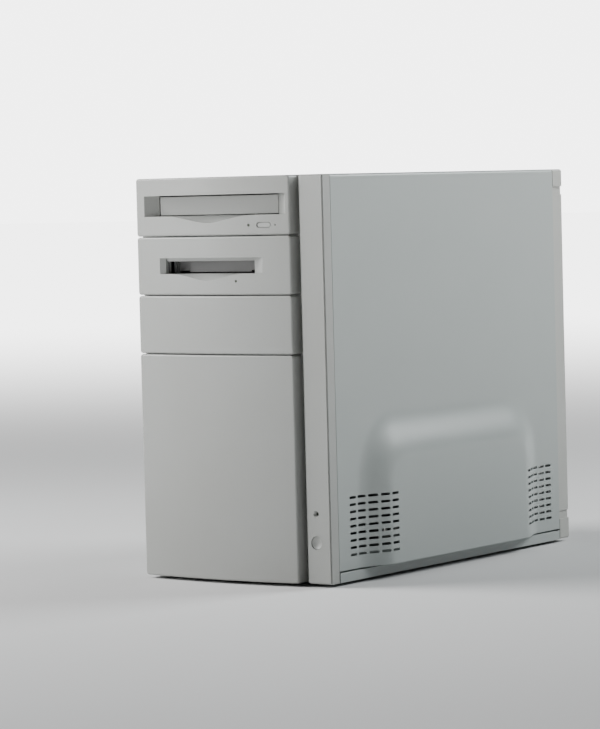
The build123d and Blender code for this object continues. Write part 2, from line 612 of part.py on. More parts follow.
def make_fans():
    supply_fan = Pos(psu_fan_x, panel_inner - sheet, psu_fan_z) * Rot(90, 0, 0)
    case_fan = Pos(case_fan_x, panel_inner, case_fan_z) * Rot(90, 0, 0)
    processor_fan = Pos(board_face - 53, cpu_y, cpu_z) * Rot(0, 90, 0)
    bore = rod(0, 0, 0.6, 1.56, 4)
    axle = rod(0, 0, 0.9, 1.5, 3.2)
    fans = (("psu_fan", supply_fan, 80.0, 25.0), ("case_fan", case_fan, 80.0, 25.0))
    fans += (("cpu_fan", processor_fan, 60.0, 15.0),)
    for name, place, size, thick in fans:
        save(name + "_frame", place * (fan_frame(size, thick) - bore))
        save(name + "_rotor", place * (fan_rotor(size, thick) + axle))


def make_board():
    plate = block(board_face, board_face + board_thick, board_front, board_rear, board_low, board_high)
    columns = (board_front + 8, board_front + 120, board_rear - 8)
    holes = [(y, z) for y in columns for z in (board_low + 12, board_high - 12)]
    for y, z in holes:
        plate -= rod(board_face - 1, y, z, 1.9, 4, "X")
    save("main_board", plate)
    screws = []
    for y, z in holes:
        screws.append(rod(board_face + board_thick, y, z, 2.8, tray_face - board_face - board_thick, "X"))
        screws.append(screw_head(board_face, y, z, 3.0, 1.8, board_thick, "X", -1))
    supply, fan = rear_screw_places()
    for x, z in supply + fan:
        screws.append(screw_head(x, panel_outer, z, 3.4, 2.0, 4.0))
    save("case_screws", *screws)

    face = board_face
    socket = block(face - 4, face, cpu_y - 26, cpu_y + 26, cpu_z - 25, cpu_z + 25)
    chip = block(face - 6, face - 4, cpu_y - 18.5, cpu_y + 18.5, cpu_z - 18.5, cpu_z + 18.5)
    save("processor", socket + chip)
    base = block(face - 12, face - 6, cpu_y - 31, cpu_y + 31, cpu_z - 31, cpu_z + 31)
    for fin in range(14):
        y = cpu_y - 31 + fin * (62 - 1.2) / 13
        base += block(face - 38, face - 11.9, y, y + 1.2, cpu_z - 31, cpu_z + 31)
    base -= block(face - 39, face - 12, cpu_y - 35, cpu_y + 35, cpu_z - 3, cpu_z + 3)
    save("processor_heatsink", base)

    sockets, modules = [], []
    for number in range(3):
        y = board_front + 22 + number * 11
        socket = block(face - 9, face, y - 3.5, y + 3.5, board_low + 92, board_low + 232)
        sockets.append(socket - block(face - 10, face - 4, y - 0.8, y + 0.8, board_low + 95, board_low + 229))
        if number < 2:
            module = block(face - 31, face - 4.2, y - 0.65, y + 0.65, board_low + 95.5, board_low + 228.5)
            for chip in range(8):
                z = board_low + 101 + chip * 16
                module += block(face - 27, face - 15, y - 1.7, y + 1.7, z, z + 9)
            modules.append(module)
    save("memory_modules", *modules)

    for number in range(4):
        z = slot_z(number) + (1.8 if number else 4.0)
        y1 = board_rear - (52 if number else 70)
        slot = block(face - 11, face, y1 - 85, y1, z - 4.2, z + 4.2)
        sockets.append(slot - block(face - 12, face - 3, y1 - 83, y1 - 2, z - 1.1, z + 1.1))
    save("board_sockets", *sockets)

    items = [block(face - 12, face, board_front + 14, board_front + 66, board_low + 76, board_low + 84)]
    items.append(block(face - 10, face, header_y - 4.5, header_y + 4.5, header_low, header_low + 54))
    items.append(block(face - 10, face, header_y + 8.5, header_y + 17.5, header_low + 12, header_low + 54))
    items.append(block(face - 3, face, board_front + 80, board_front + 112, board_low + 84, board_low + 116))
    items.append(block(face - 3, face, board_front + 60, board_front + 90, board_low + 20, board_low + 50))
    items.append(rod(face - 4.5, board_front + 73, board_low + 65, 10.5, 4.5, "X"))
    for number in range(7):
        y = cpu_y - 40 - 9 * (number % 2)
        items.append(rod(face - 15, y, cpu_z - 42 + number * 13, 4.2, 15, "X"))
    for number in range(4):
        items.append(rod(face - 9, board_front + 74 + number * 12, board_low + 232, 3.1, 9, "X"))
    save("board_components", *items)


def make_rear_connectors():
    face, wall = board_face, panel_inner
    shield = block(44.7, face + 0.4, wall, wall + 0.6, bottom + 93.2, bottom + 251.5)
    back = board_rear - 22
    ports = []
    for z in (bottom + 231, bottom + 216.5):
        body = block(face - 14, face, back, wall + 0.8, z - 7, z + 7)
        body -= rod(face - 7, wall - 1, z, 4.6, 4, "Y")
        body += rod(face - 7, wall - 4, z, 3.9, 3.4, "Y")
        ports.append(body)
        shield -= block(face - 14.4, face, wall - 1, wall + 2, z - 7.3, z + 7.3)
    for x in (face - 6.5, face - 14.5):
        z = bottom + 197
        body = block(x - 3.4, x + 3.4, back + 4, wall + 1.2, z - 7, z + 7)
        body -= block(x - 2.7, x + 2.7, wall - 8, wall + 3, z - 6.2, z + 6.2)
        body += block(x - 0.2, x + 1.6, wall - 8.5, wall + 0.4, z - 5.2, z + 5.2)
        ports.append(body)
        shield -= block(x - 3.6, x + 3.6, wall - 1, wall + 2, z - 7.3, z + 7.3)
    for x, z, half in ((face - 7, bottom + 168, 15.5), (face - 26, bottom + 163, 27.0)):
        ports.append(port_block(x, z, half, wall))
        shield -= block(x - 7, x + 7, wall - 1, wall + 2, z - half - 0.4, z + half + 0.4)
    for number in range(3):
        z = bottom + 128 - number * 13
        body = block(face - 12, face, back + 6, wall + 0.4, z - 5.5, z + 5.5)
        body += rod(face - 6, wall, z, 4.0, 2.4, "Y")
        body -= rod(face - 6, wall - 8, z, 1.8, 12, "Y")
        ports.append(body)
        shield -= block(face - 12.3, face, wall - 1, wall + 2, z - 5.8, z + 5.8)
    save("io_ports", *ports)
    save("io_shield", shield)


def port_block(x, z, half, wall):
    """A D-shaped port on its flange, upright, with a row of contacts in its mouth."""
    body = block(x - 6, x + 6, wall - 10, wall + 0.8, z - half, z + half)
    if x < board_face - 20:
        body += block(x - 6, board_face, wall - 10, wall - 2, z - half, z + half)
    shell_half = half - 6.2
    mouth = block(x - 4.4, x + 4.4, wall + 0.6, wall + 6.4, z - shell_half, z + shell_half)
    mouth = fillet(mouth.edges().filter_by(Axis.Y), 2.6)
    body += mouth
    for offset in (-half + 3, half - 3):
        nut = rod(x, wall + 0.6, z + offset, 2.6, 4.6, "Y") - rod(x, wall + 1, z + offset, 1.4, 6, "Y")
        body += nut
    return body


def card_plate(number):
    """The steel bracket that closes one card opening, turned in at its screwed end."""
    z = slot_z(number)
    plate = block(-26, 86.5, panel_inner - 1.0, panel_inner - 0.1, z - 9.2, z + 9.2)
    return plate + block(-27, -26, panel_inner - 12, panel_inner - 0.1, z - 9.2, z + 9.2)


def make_cards():
    wall = panel_inner
    edge = board_face - 11.2
    plates = [card_plate(number) for number in range(4)]
    ports = []
    for number, name, length, tall in ((0, "graphics_card", 150, 86), (2, "network_card", 120, 70)):
        level = slot_z(number) + (1.8 if number else 4.0)
        y1 = board_rear - (52 if number else 70)
        card = block(edge - tall, edge, wall - 3 - length, wall - 3, level - 0.8, level + 0.8)
        card += block(edge - 1, board_face - 3.4, y1 - 80, y1 - 4, level - 0.8, level + 0.8)
        card += block(edge - 50, edge - 26, wall - 80, wall - 56, level - 4.0, level)
        card += block(edge - 24, edge - 12, wall - 118, wall - 98, level - 3.0, level)
        card += block(edge - 68, edge - 54, wall - 104, wall - 84, level - 3.0, level)
        save(name, card)
        x0, x1 = (board_face - 48, board_face - 17) if number == 0 else (board_face - 40, board_face - 24)
        port = block(x0, x1, wall - 18, wall + 0.9, level - 9.0, level - 0.9)
        if number == 0:
            mouth = block(x0 + 7, x1 - 7, wall + 0.6, wall + 6.4, level - 9.0, level - 1.4)
            port += fillet(mouth.edges().filter_by(Axis.Y), 2.4)
        else:
            port -= block(x0 + 2, x1 - 2, wall - 14, wall + 3, level - 8.0, level - 2.0)
        ports.append(port)
        plates[number] -= block(x0 - 0.2, x1 + 0.2, wall - 2, wall + 1, level - 9.1, level - 0.8)
    save("slot_plates", *plates)
    save("card_ports", *ports)


def ribbon(points, x0, x1, radius=6.0, thick=1.0):
    """A flat cable, wide along X, whose middle line bends in a Y-Z plane."""
    plane = Plane(origin=(x0, 0, 0), x_dir=(0, 1, 0), z_dir=(1, 0, 0))
    line = FilletPolyline(*points, radius=radius)
    return extrude(plane * make_face(offset(line, thick / 2, side=Side.BOTH)), x1 - x0)


def lead(points, radius):
    """A round lead along straight runs joined by the largest arcs that they allow."""
    path = [Vector(*point) for point in points]
    bends = []
    for before, here, after in zip(path, path[1:], path[2:]):
        turn = radians((here - before).get_angle(after - here))
        shorter = min((here - before).length, (after - here).length)
        bends.append(0.45 * shorter / tan(turn / 2))
    line = FilletPolyline(*path, radius=bends)
    return sweep(Plane(origin=line @ 0, z_dir=line % 0) * Circle(radius), path=line)


def make_cables():
    disk_rear = front + 184.6
    wide = (-31.5, 18.5)
    cd_socket = cd_front + cd_length + 3.6
    loop = [(cd_socket, cd_low + 10), (cd_socket + 23, cd_low + 10), (cd_socket + 31, bottom + 230)]
    loop += [(disk_rear + 21, bottom + 157), (disk_rear, bottom + 157)]
    drop = [(disk_rear + 2, bottom + 151), (disk_rear + 2, bottom + 117), (header_y, bottom + 96)]
    drop += [(header_y, header_low + 2)]
    plug_y, plug_x = header_y, board_face - 10.1
    leg = ribbon(drop, *wide)
    leg += block(wide[1] - 1, plug_x - 6, plug_y - 0.5, plug_y + 0.5, header_low + 2, header_low + 52)
    left = wide[0] - 1
    corner = Polyline((left, header_low), (left + 47, header_low), (left, header_low + 47), close=True)
    plane = Plane(origin=(0, header_y - 2, 0), x_dir=(1, 0, 0), z_dir=(0, -1, 0))
    leg -= extrude(plane * make_face(corner), -4)
    leg += block(plug_x - 7, plug_x, plug_y - 4, plug_y + 4, header_low + 1, header_low + 53)
    save("ribbon_cables", ribbon(loop, *wide), leg)

    exit_y = psu_front
    power = [(35, exit_y, 283), (35, exit_y - 26, 283), (36, 10, 250), (38, 0, 190), (40, -3, 140)]
    power += [(47, -3, 104), (board_face - 23, -3, board_low + 80)]
    main = lead(power, 4.5)
    main += block(board_face - 24, board_face - 12.1, -28, 22, board_low + 76.2, board_low + 83.8)
    disc = lead([(34, exit_y, 305), (34, exit_y - 20, 305), (34, 26, 320), (34, 8, 320)], 3.0)
    disc += block(24, 44, cd_socket - 0.5, cd_socket + 9, cd_low + 7, cd_low + 15)
    disk = [(-52, exit_y, 290), (-52, exit_y - 22, 290), (-56, 12, 250), (-56, 4, 195), (-54, -2, 166)]
    disk = lead(disk + [(-52, -14, 158)], 3.0)
    disk += block(-62, -42, -20, -10, bottom + 151, bottom + 159)
    floppy_rear = floppy_front + 149.2
    thin = [(-40, floppy_rear + 8, 281), (-40, -16, 280), (-40, -7, 240), (-40, -7, 190), (-38, -8, 140)]
    thin += [(-20, -14, 92), (20, header_y + 13, 72), (board_face - 16, header_y + 13, 70)]
    thin = lead(thin, 3.4)
    thin += block(-62, -20, floppy_rear, floppy_rear + 9, floppy_low + 8, floppy_low + 15)
    low = header_low + 13
    thin += block(board_face - 17, board_face - 10.1, header_y + 9, header_y + 17, low, low + 40)
    save("power_leads", main, disc, disk, thin)


def make_speaker():
    body = rod(-20, steel_front + 1, bottom + 68, 26, 4, "Y")
    low = (Align.CENTER, Align.CENTER, Align.MIN)
    body += Pos(-20, steel_front + 5, bottom + 68) * Rot(-90, 0, 0) * Cone(22, 10, 8, align=low)
    body += rod(-20, steel_front + 13, bottom + 68, 12, 8, "Y")
    save("speaker", body)


for make in (
    make_cd_bezel,
    make_floppy_bezel,
    make_plain_panels,
    make_front_bezel,
    make_power_button,
    make_lamps,
    make_base_pan,
    make_front_plate,
    make_side_covers,
    make_rear_frame,
    make_rear_panel,
    make_top_and_tray,
    make_cage,
    make_cd_drive,
    make_floppy_drive,
    make_hard_disk,
    make_power_supply,
    make_fans,
    make_board,
    make_rear_connectors,
    make_cards,
    make_cables,
    make_speaker,
):
    make()
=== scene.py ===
import json
from math import cos, pi, radians, sin, sqrt

import bmesh
import bpy
from bpy.props import FloatProperty, FloatVectorProperty, IntProperty, PointerProperty
from mathutils import Matrix, Vector


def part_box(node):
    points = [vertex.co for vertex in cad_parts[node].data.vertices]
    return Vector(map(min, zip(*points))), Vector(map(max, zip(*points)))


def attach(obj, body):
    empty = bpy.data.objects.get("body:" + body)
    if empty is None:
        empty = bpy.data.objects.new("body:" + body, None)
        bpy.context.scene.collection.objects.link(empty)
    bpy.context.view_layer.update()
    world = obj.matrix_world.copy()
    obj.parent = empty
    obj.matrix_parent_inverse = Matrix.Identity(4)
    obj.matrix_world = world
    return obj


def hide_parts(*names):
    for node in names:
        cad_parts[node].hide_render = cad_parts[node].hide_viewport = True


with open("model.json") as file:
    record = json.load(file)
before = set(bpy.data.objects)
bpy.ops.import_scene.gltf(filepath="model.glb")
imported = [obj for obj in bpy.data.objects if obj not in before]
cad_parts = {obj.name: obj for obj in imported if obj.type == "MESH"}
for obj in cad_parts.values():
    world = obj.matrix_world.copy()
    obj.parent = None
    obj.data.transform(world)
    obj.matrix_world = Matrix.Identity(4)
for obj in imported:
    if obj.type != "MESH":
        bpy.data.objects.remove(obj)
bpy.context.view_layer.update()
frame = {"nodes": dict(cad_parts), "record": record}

bl_info = {
    "name": "Desktop Computer Tower",
    "version": (1, 0, 0),
    "blender": (4, 5, 0),
    "location": "3D View > Sidebar > Tower",
    "description": "Builds the surfaces, finishes and small parts of a desktop computer tower",
    "category": "Add Mesh",
}

MM = 0.001

# ---------------------------------------------------------------- places taken from the frame
bezel_low, bezel_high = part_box("front_bezel")
cover_low, cover_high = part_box("right_side_cover")
rear_low, rear_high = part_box("rear_panel")
board_low, board_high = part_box("main_board")
supply_low, supply_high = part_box("psu_case")
fan_low, fan_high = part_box("case_fan_frame")
FRONT = bezel_low.y  # plane of the front corner
SIDE = bezel_high.x
BOTTOM = bezel_low.z
BOW_RADIUS = 600 * MM
BOW_HEIGHT = 8.2 * MM
BOW_CENTRE_X = 5 * MM
BOW_CENTRE_Y = FRONT - BOW_HEIGHT + BOW_RADIUS
ROUNDED_FROM = 40  # degrees by which an edge has to turn to be rounded


# ---------------------------------------------------------------- settings
def colour_property(name, default):
    return FloatVectorProperty(
        name=name, description="Base colour", default=default, subtype="COLOR", size=3, min=0, max=1
    )


def number_property(name, default, description, **limits):
    return FloatProperty(name=name, description=description, default=default, min=0, **limits)


def length_property(name, default, description):
    return FloatProperty(name=name, description=description, default=default, min=0, unit="LENGTH")


class TowerFinishes(bpy.types.PropertyGroup):
    plastic: colour_property("Plastic", (0.38, 0.39, 0.375))
    frame_plastic: colour_property("Rear frame", (0.45, 0.455, 0.43))
    enamel: colour_property("Enamel", (0.375, 0.41, 0.40))
    flap: colour_property("Floppy flap", (0.21, 0.21, 0.205))
    grain: number_property("Grain", 0.12, "Strength of the moulded texture", max=1)
    plastic_roughness: number_property("Plastic roughness", 0.36, "Roughness of mouldings", max=1)
    enamel_roughness: number_property("Enamel roughness", 0.42, "Roughness of the covers", max=1)


class TowerCovers(bpy.types.PropertyGroup):
    rise: length_property("Rise", cover_high.x - SIDE, "How far the raised field stands out")
    ramp: length_property("Ramp", 42 * MM, "Width of the slope round the raised field")
    field_start: length_property("Field start", 44 * MM, "From the front corner to the field")
    field_stop: length_property("Field stop", 358 * MM, "From the front corner to the field's rear end")
    field_top: length_property("Field top", 148 * MM, "From the bottom to the top of the field")
    corner: length_property("Corner", 62 * MM, "Radius of the field's upper corners")
    sheet: length_property("Sheet", 1 * MM, "Thickness of the steel")
    vent_rows: IntProperty(name="Vent rows", description="Slots above each other", default=9, min=1)
    vent_columns: IntProperty(
        name="Vent columns", description="Slots beside each other", default=5, min=1
    )
    vent_length: length_property("Slot length", 10.4 * MM, "Length of a slot")
    vent_height: length_property("Slot height", 2.4 * MM, "Height of a slot")


class TowerStage(bpy.types.PropertyGroup):
    lens: FloatProperty(
        name="Lens", description="Focal length of the camera in millimetres", default=165.0, min=20
    )
    key: number_property("Key light", 43.0, "Power of the main light", unit="POWER")
    fill: number_property("Fill light", 50.0, "Power of the weaker light", unit="POWER")
    strip: number_property("Strip light", 20.0, "Power of the tall narrow light", unit="POWER")
    ambient: number_property("Ambient", 0.05, "Strength of the light from all round")
    backdrop: number_property("Backdrop", 5.0, "Brightness of the backdrop")
    glow: number_property("Floor glow", 4.6, "Light that the far floor gives off")


# ---------------------------------------------------------------- node trees
class Graph:
    """Adds nodes to a tree and links or sets their inputs."""

    def __init__(self, tree):
        self.tree = tree

    def add(self, kind, inputs=None, **settings):
        node = self.tree.nodes.new(kind)
        for name, value in settings.items():
            setattr(node, name, value)
        for name, value in (inputs or {}).items():
            if isinstance(value, bpy.types.NodeSocket):
                self.tree.links.new(value, node.inputs[name])
            else:
                node.inputs[name].default_value = value
        return node


def new_material(name, slot_class):
    """A material with a principled shader; returns it, its graph, its shader and object coordinates."""
    material = bpy.data.materials.new(name)
    material.use_nodes = True
    material.node_tree.nodes.clear()
    graph = Graph(material.node_tree)
    shader = graph.add("ShaderNodeBsdfPrincipled")
    shader.inputs["Metallic"].default_value = 1.0 if slot_class == "metal" else 0.0
    graph.add("ShaderNodeOutputMaterial", {"Surface": shader.outputs["BSDF"]})
    place = graph.add("ShaderNodeTexCoord").outputs["Object"]
    return material, graph, shader, place


def tinted(colour, amount, warm=0.0):
    return (colour[0] * amount * (1 + warm), colour[1] * amount, colour[2] * amount * (1 - warm), 1.0)


def noise(graph, place, scale, detail=2.0, roughness=0.5, stretch=None):
    if stretch:
        place = graph.add("ShaderNodeMapping", {"Vector": place, "Scale": stretch}).outputs["Vector"]
    return graph.add(
        "ShaderNodeTexNoise", {"Vector": place, "Scale": scale, "Detail": detail, "Roughness": roughness}
    ).outputs["Fac"]


def mixed(graph, factor, first, second):
    node = graph.add("ShaderNodeMix", data_type="RGBA")
    graph.tree.links.new(factor, node.inputs["Factor"])
    for socket, value in ((node.inputs[6], first), (node.inputs[7], second)):
        if isinstance(value, bpy.types.NodeSocket):
            graph.tree.links.new(value, socket)
        else:
            socket.default_value = value
    return node.outputs[2]


def spread(graph, value, low, high, from_low=0.3, from_high=0.7):
    return graph.add(
        "ShaderNodeMapRange",
        {"Value": value, "From Min": from_low, "From Max": from_high, "To Min": low, "To Max": high},
    ).outputs["Result"]


def bump(graph, height, strength, distance, normal=None):
    inputs = {"Height": height, "Strength": strength, "Distance": distance}
    if normal:
        inputs["Normal"] = normal
    return graph.add("ShaderNodeBump", inputs).outputs["Normal"]


def surface(graph, shader, base, dull, normal=None):
    """Links a colour, a roughness and, where there is one, a normal to the shader."""
    for socket, value in (("Base Color", base), ("Roughness", dull), ("Normal", normal)):
        if value is not None:
            graph.tree.links.new(value, shader.inputs[socket])


def moulded_plastic(name, colour, roughness=0.48, grain=0.12, specular=0.5, grain_scale=2300):
    """Injection-moulded plastic: a fine spark texture, faint flow marks and uneven ageing."""
    material, graph, shader, place = new_material(name, "plastic")
    ageing = noise(graph, place, 7, 3)
    flow = noise(graph, place, 38, 4, 0.6)
    worn, pale = tinted(colour, 0.955, 0.012), tinted(colour, 1.03, -0.006)
    aged = mixed(graph, spread(graph, ageing, 0, 1), worn, pale)
    specks = spread(graph, noise(graph, place, 900, 2, 0.7), 0, 1, 0.66, 0.76)
    base = mixed(graph, specks, aged, tinted(colour, 0.80))
    dull = spread(graph, flow, roughness - 0.05, roughness + 0.06)
    fine = noise(graph, place, grain_scale, 2, 0.6)
    wave = noise(graph, place, 24, 1)
    soft = bump(graph, wave, 0.05, 0.0012)
    surface(graph, shader, base, dull, bump(graph, fine, grain, 0.00012, soft))
    shader.inputs["Specular IOR Level"].default_value = specular
    return material


def baked_enamel(name, colour, roughness=0.42):
    """Baked enamel on sheet steel: slight orange peel, faint smears and a few fine scratches."""
    material, graph, shader, place = new_material(name, "paint")
    broad = noise(graph, place, 5, 3)
    base = mixed(graph, spread(graph, broad, 0, 1), tinted(colour, 0.965), tinted(colour, 1.02, 0.004))
    chips = spread(graph, noise(graph, place, 420, 3, 0.75), 0, 1, 0.70, 0.80)
    base = mixed(graph, chips, base, tinted(colour, 0.86))
    smear = noise(graph, place, 11, 5, 0.65)
    dull = spread(graph, smear, roughness - 0.05, roughness + 0.07)
    peel = noise(graph, place, 900, 2, 0.5)
    dents = noise(graph, place, 3.5, 1)
    soft = bump(graph, dents, 0.12, 0.003)
    surface(graph, shader, base, dull, bump(graph, peel, 0.10, 0.00012, soft))
    shader.inputs["Coat Weight"].default_value = 0.12
    shader.inputs["Coat Roughness"].default_value = 0.28
    return material


def plated_steel(name, colour, roughness=0.34, brushed=(1, 1, 1)):
    """Zinc-plated sheet: rolled streaks, large pale crystals and dull patches."""
    material, graph, shader, place = new_material(name, "metal")
    crystals = graph.add("ShaderNodeTexVoronoi", {"Vector": place, "Scale": 95.0}).outputs["Color"]
    crystal_tone = graph.add("ShaderNodeSeparateColor", {"Color": crystals}).outputs["Red"]
    streaks = noise(graph, place, 420, 3, 0.6, brushed)
    base = mixed(graph, spread(graph, crystal_tone, 0, 1, 0, 1), tinted(colour, 0.90), tinted(colour, 1.06))
    base = mixed(graph, spread(graph, streaks, 0, 1), base, tinted(colour, 0.97))
    patches = noise(graph, place, 17, 4, 0.6)
    dull = spread(graph, patches, roughness - 0.07, roughness + 0.09)
    surface(graph, shader, base, dull, bump(graph, streaks, 0.10, 0.0002))
    return material


def bare_metal(name, colour, roughness, streak=(1, 1, 1)):
    """Plain machined or plated metal with fine streaks along one way."""
    material, graph, shader, place = new_material(name, "metal")
    lines = noise(graph, place, 700, 3, 0.6, streak)
    base = mixed(graph, spread(graph, lines, 0, 1), tinted(colour, 0.93), tinted(colour, 1.04))
    marks = noise(graph, place, 60, 3, 0.6)
    dull = spread(graph, marks, roughness * 0.8, roughness * 1.35)
    surface(graph, shader, base, dull, bump(graph, lines, 0.08, 0.00015))
    return material


def circuit_laminate(name, colour, trace):
    """Lacquered glass-fibre board with fine traces, pads and a faint weave."""
    material, graph, shader, place = new_material(name, "plastic")
    shade = noise(graph, place, 30, 3)
    base = mixed(graph, spread(graph, shade, 0, 1), tinted(colour, 0.85), tinted(colour, 1.15))
    layers = (((0, 0, 0), 190, 0.80), ((0, radians(45), 0), 130, 0.86), ((radians(90), 0, 0), 160, 0.82))
    for turn, scale, limit in layers:
        turned = graph.add("ShaderNodeMapping", {"Vector": place, "Rotation": turn}).outputs["Vector"]
        wave = graph.add(
            "ShaderNodeTexWave",
            {"Vector": turned, "Scale": scale, "Distortion": 1.4, "Detail": 0.0, "Detail Scale": 0.2},
            bands_direction="Z",
        ).outputs["Fac"]
        zone = spread(graph, noise(graph, turned, 42, 0), 0, 1, 0.52, 0.54)
        lines = spread(graph, wave, 0, 1, limit, limit + 0.08)
        both = graph.add("ShaderNodeMath", operation="MULTIPLY")
        graph.tree.links.new(lines, both.inputs[0])
        graph.tree.links.new(zone, both.inputs[1])
        base = mixed(graph, both.outputs[0], base, tinted(trace, 1.0))
    cells = graph.add("ShaderNodeTexVoronoi", {"Vector": place, "Scale": 260.0, "Randomness": 0.55})
    pads = spread(graph, cells.outputs["Distance"], 1, 0, 0.10, 0.14)
    base = mixed(graph, pads, base, (0.55, 0.53, 0.46, 1))
    dull = spread(graph, shade, 0.26, 0.40)
    weave = noise(graph, place, 1200, 1, 0.5, (1, 0.3, 1))
    surface(graph, shader, base, dull, bump(graph, weave, 0.08, 0.0001))
    return material


def flat_cable(name, colour):
    """Grey ribbon with a ridge for every conductor and one marked edge; its colour carries painted shade
    between the ridges and a painted highlight on their tops.
    """
    material, graph, shader, place = new_material(name, "plastic")
    split = graph.add("ShaderNodeSeparateXYZ", {"Vector": place})
    ridge = graph.add(
        "ShaderNodeTexWave", {"Vector": place, "Scale": 2 * pi * 40, "Distortion": 0.0}, bands_direction="X"
    )
    # Painted shade and highlight: the colour goes to 0.66 in the grooves between conductors and 1.05 on the
    # ridge tops.
    painted_ridge_shade = spread(graph, ridge.outputs["Fac"], 0, 1, 0.1, 0.7)
    base = mixed(graph, painted_ridge_shade, tinted(colour, 0.66), tinted(colour, 1.05))
    edge = spread(graph, split.outputs["X"], 1, 0, -0.0303, -0.0301)
    base = mixed(graph, edge, base, (0.42, 0.03, 0.02, 1))
    dull = spread(graph, noise(graph, place, 60, 2), 0.42, 0.55)
    surface(graph, shader, base, dull, bump(graph, ridge.outputs["Fac"], 0.6, 0.0004))
    return material


def lamp_lens(name, colour):
    """Tinted, slightly cloudy light pipe."""
    material, graph, shader, place = new_material(name, "plastic")
    cloud = noise(graph, place, 700, 2)
    base = mixed(graph, spread(graph, cloud, 0, 1), tinted(colour, 0.7), tinted(colour, 1.3))
    surface(graph, shader, base, spread(graph, cloud, 0.12, 0.26))
    shader.inputs["Transmission Weight"].default_value = 0.25
    return material


FIXED_FINISHES = {
    "zinc_steel": (plated_steel, "Plated sheet", (0.62, 0.63, 0.62), 0.36, (1, 1, 0.06)),
    "wire_chrome": (bare_metal, "Grille wire", (0.80, 0.80, 0.81), 0.14),
    "fin_aluminium": (bare_metal, "Extruded aluminium", (0.72, 0.73, 0.75), 0.34, (1, 1, 0.04)),
    "disk_aluminium": (bare_metal, "Cast aluminium", (0.52, 0.53, 0.54), 0.42),
    "black_plastic": (moulded_plastic, "Black moulding", (0.022, 0.022, 0.024), 0.42, 0.10),
    "dark_plastic": (moulded_plastic, "Dark moulding", (0.055, 0.055, 0.06), 0.45, 0.10),
    "grey_plastic": (moulded_plastic, "Grey moulding", (0.16, 0.16, 0.155), 0.5, 0.10),
    "red_plastic": (moulded_plastic, "Red moulding", (0.48, 0.035, 0.02), 0.36, 0.05),
    "white_plastic": (moulded_plastic, "Ivory moulding", (0.66, 0.63, 0.53), 0.42, 0.06),
    "component_mix": (moulded_plastic, "Part moulding", (0.05, 0.05, 0.052), 0.4, 0.08),
    "laminate_green": (circuit_laminate, "Circuit laminate", (0.018, 0.085, 0.035), (0.05, 0.20, 0.085)),
    "laminate_tan": (circuit_laminate, "Supply laminate", (0.30, 0.19, 0.07), (0.36, 0.25, 0.10)),
    "ribbon_vinyl": (flat_cable, "Flat cable", (0.36, 0.37, 0.38)),
    "foot_rubber": (moulded_plastic, "Foot rubber", (0.03, 0.03, 0.03), 0.7, 0.25, 0.3, 1300),
    "lamp_plastic": (lamp_lens, "Lamp lens", (0.05, 0.07, 0.035)),
    "contact_gold": (bare_metal, "Gilt contacts", (0.80, 0.58, 0.24), 0.25),
    "port_violet": (moulded_plastic, "Violet insert", (0.20, 0.09, 0.28), 0.4, 0.06),
    "port_green": (moulded_plastic, "Green insert", (0.07, 0.27, 0.10), 0.4, 0.06),
    "port_plum": (moulded_plastic, "Plum insert", (0.30, 0.05, 0.12), 0.4, 0.06),
    "port_teal": (moulded_plastic, "Teal insert", (0.03, 0.25, 0.25), 0.4, 0.06),
    "port_blue": (moulded_plastic, "Blue insert", (0.06, 0.12, 0.42), 0.4, 0.06),
    "port_pink": (moulded_plastic, "Pink insert", (0.62, 0.22, 0.30), 0.4, 0.06),
    "tin": (plated_steel, "Tinned shell", (0.66, 0.66, 0.64), 0.28),
    "slot_brown": (moulded_plastic, "Brown moulding", (0.13, 0.055, 0.025), 0.42, 0.06),
    "sleeve": (moulded_plastic, "Capacitor sleeve", (0.015, 0.03, 0.10), 0.3, 0.03),
}
WIRES = {
    "wire_black": (0.02, 0.02, 0.02),
    "wire_red": (0.50, 0.03, 0.02),
    "wire_yellow": (0.62, 0.48, 0.04),
    "wire_orange": (0.60, 0.20, 0.02),
    "wire_white": (0.62, 0.62, 0.60),
}
FINISHES = {}


def make_finishes(settings):
    """Every finish on the object, by the name of its slot or of the piece that it is for."""
    plastic = settings.plastic
    grain = settings.grain
    FINISHES["panel_plastic"] = moulded_plastic("Panel moulding", plastic, settings.plastic_roughness, grain)
    # Painted shade: the column uses the panels' plastic made one percent darker, standing in for the shade
    # beside the proud bowed panels.
    painted_shade_plastic = tinted(plastic, 0.99)[:3]
    FINISHES["bezel_plastic"] = moulded_plastic("Column moulding", painted_shade_plastic, settings.plastic_roughness, grain)
    FINISHES["frame_plastic"] = moulded_plastic("Rear frame moulding", settings.frame_plastic, 0.5, grain)
    FINISHES["flap_plastic"] = moulded_plastic("Flap moulding", settings.flap, 0.42, 0.08)
    FINISHES["cover_paint"] = baked_enamel("Cover enamel", settings.enamel, settings.enamel_roughness)
    for finish, (make, *given) in FIXED_FINISHES.items():
        FINISHES[finish] = make(*given)
    for wire, colour in WIRES.items():
        FINISHES[wire] = moulded_plastic(wire.replace("_", " "), colour, 0.38, 0.03)


# ---------------------------------------------------------------- meshes
def piece_from(mesh, name):
    piece = bpy.data.objects.new(name, mesh)
    bpy.context.scene.collection.objects.link(piece)
    return piece


def piece_of(bm, name):
    """A new object whose mesh is a bmesh, which is freed."""
    mesh = bpy.data.meshes.new(name)
    bm.to_mesh(mesh)
    bm.free()
    return piece_from(mesh, name)


def baked(piece):
    """Applies a piece's modifiers to its mesh."""
    graph = bpy.context.evaluated_depsgraph_get()
    mesh = bpy.data.meshes.new_from_object(
        piece.evaluated_get(graph), preserve_all_data_layers=True, depsgraph=graph
    )
    piece.modifiers.clear()
    old = piece.data
    piece.data = mesh
    bpy.data.meshes.remove(old)
    return piece


def merged(node):
    """A bmesh of a CAD node with its loose triangles joined and its flat faces made whole."""
    bm = bmesh.new()
    bm.from_mesh(frame["nodes"][node].data)
    bmesh.ops.remove_doubles(bm, verts=bm.verts, dist=2e-6)
    bmesh.ops.dissolve_limit(bm, angle_limit=radians(0.3), verts=bm.verts, edges=bm.edges)
    return bm


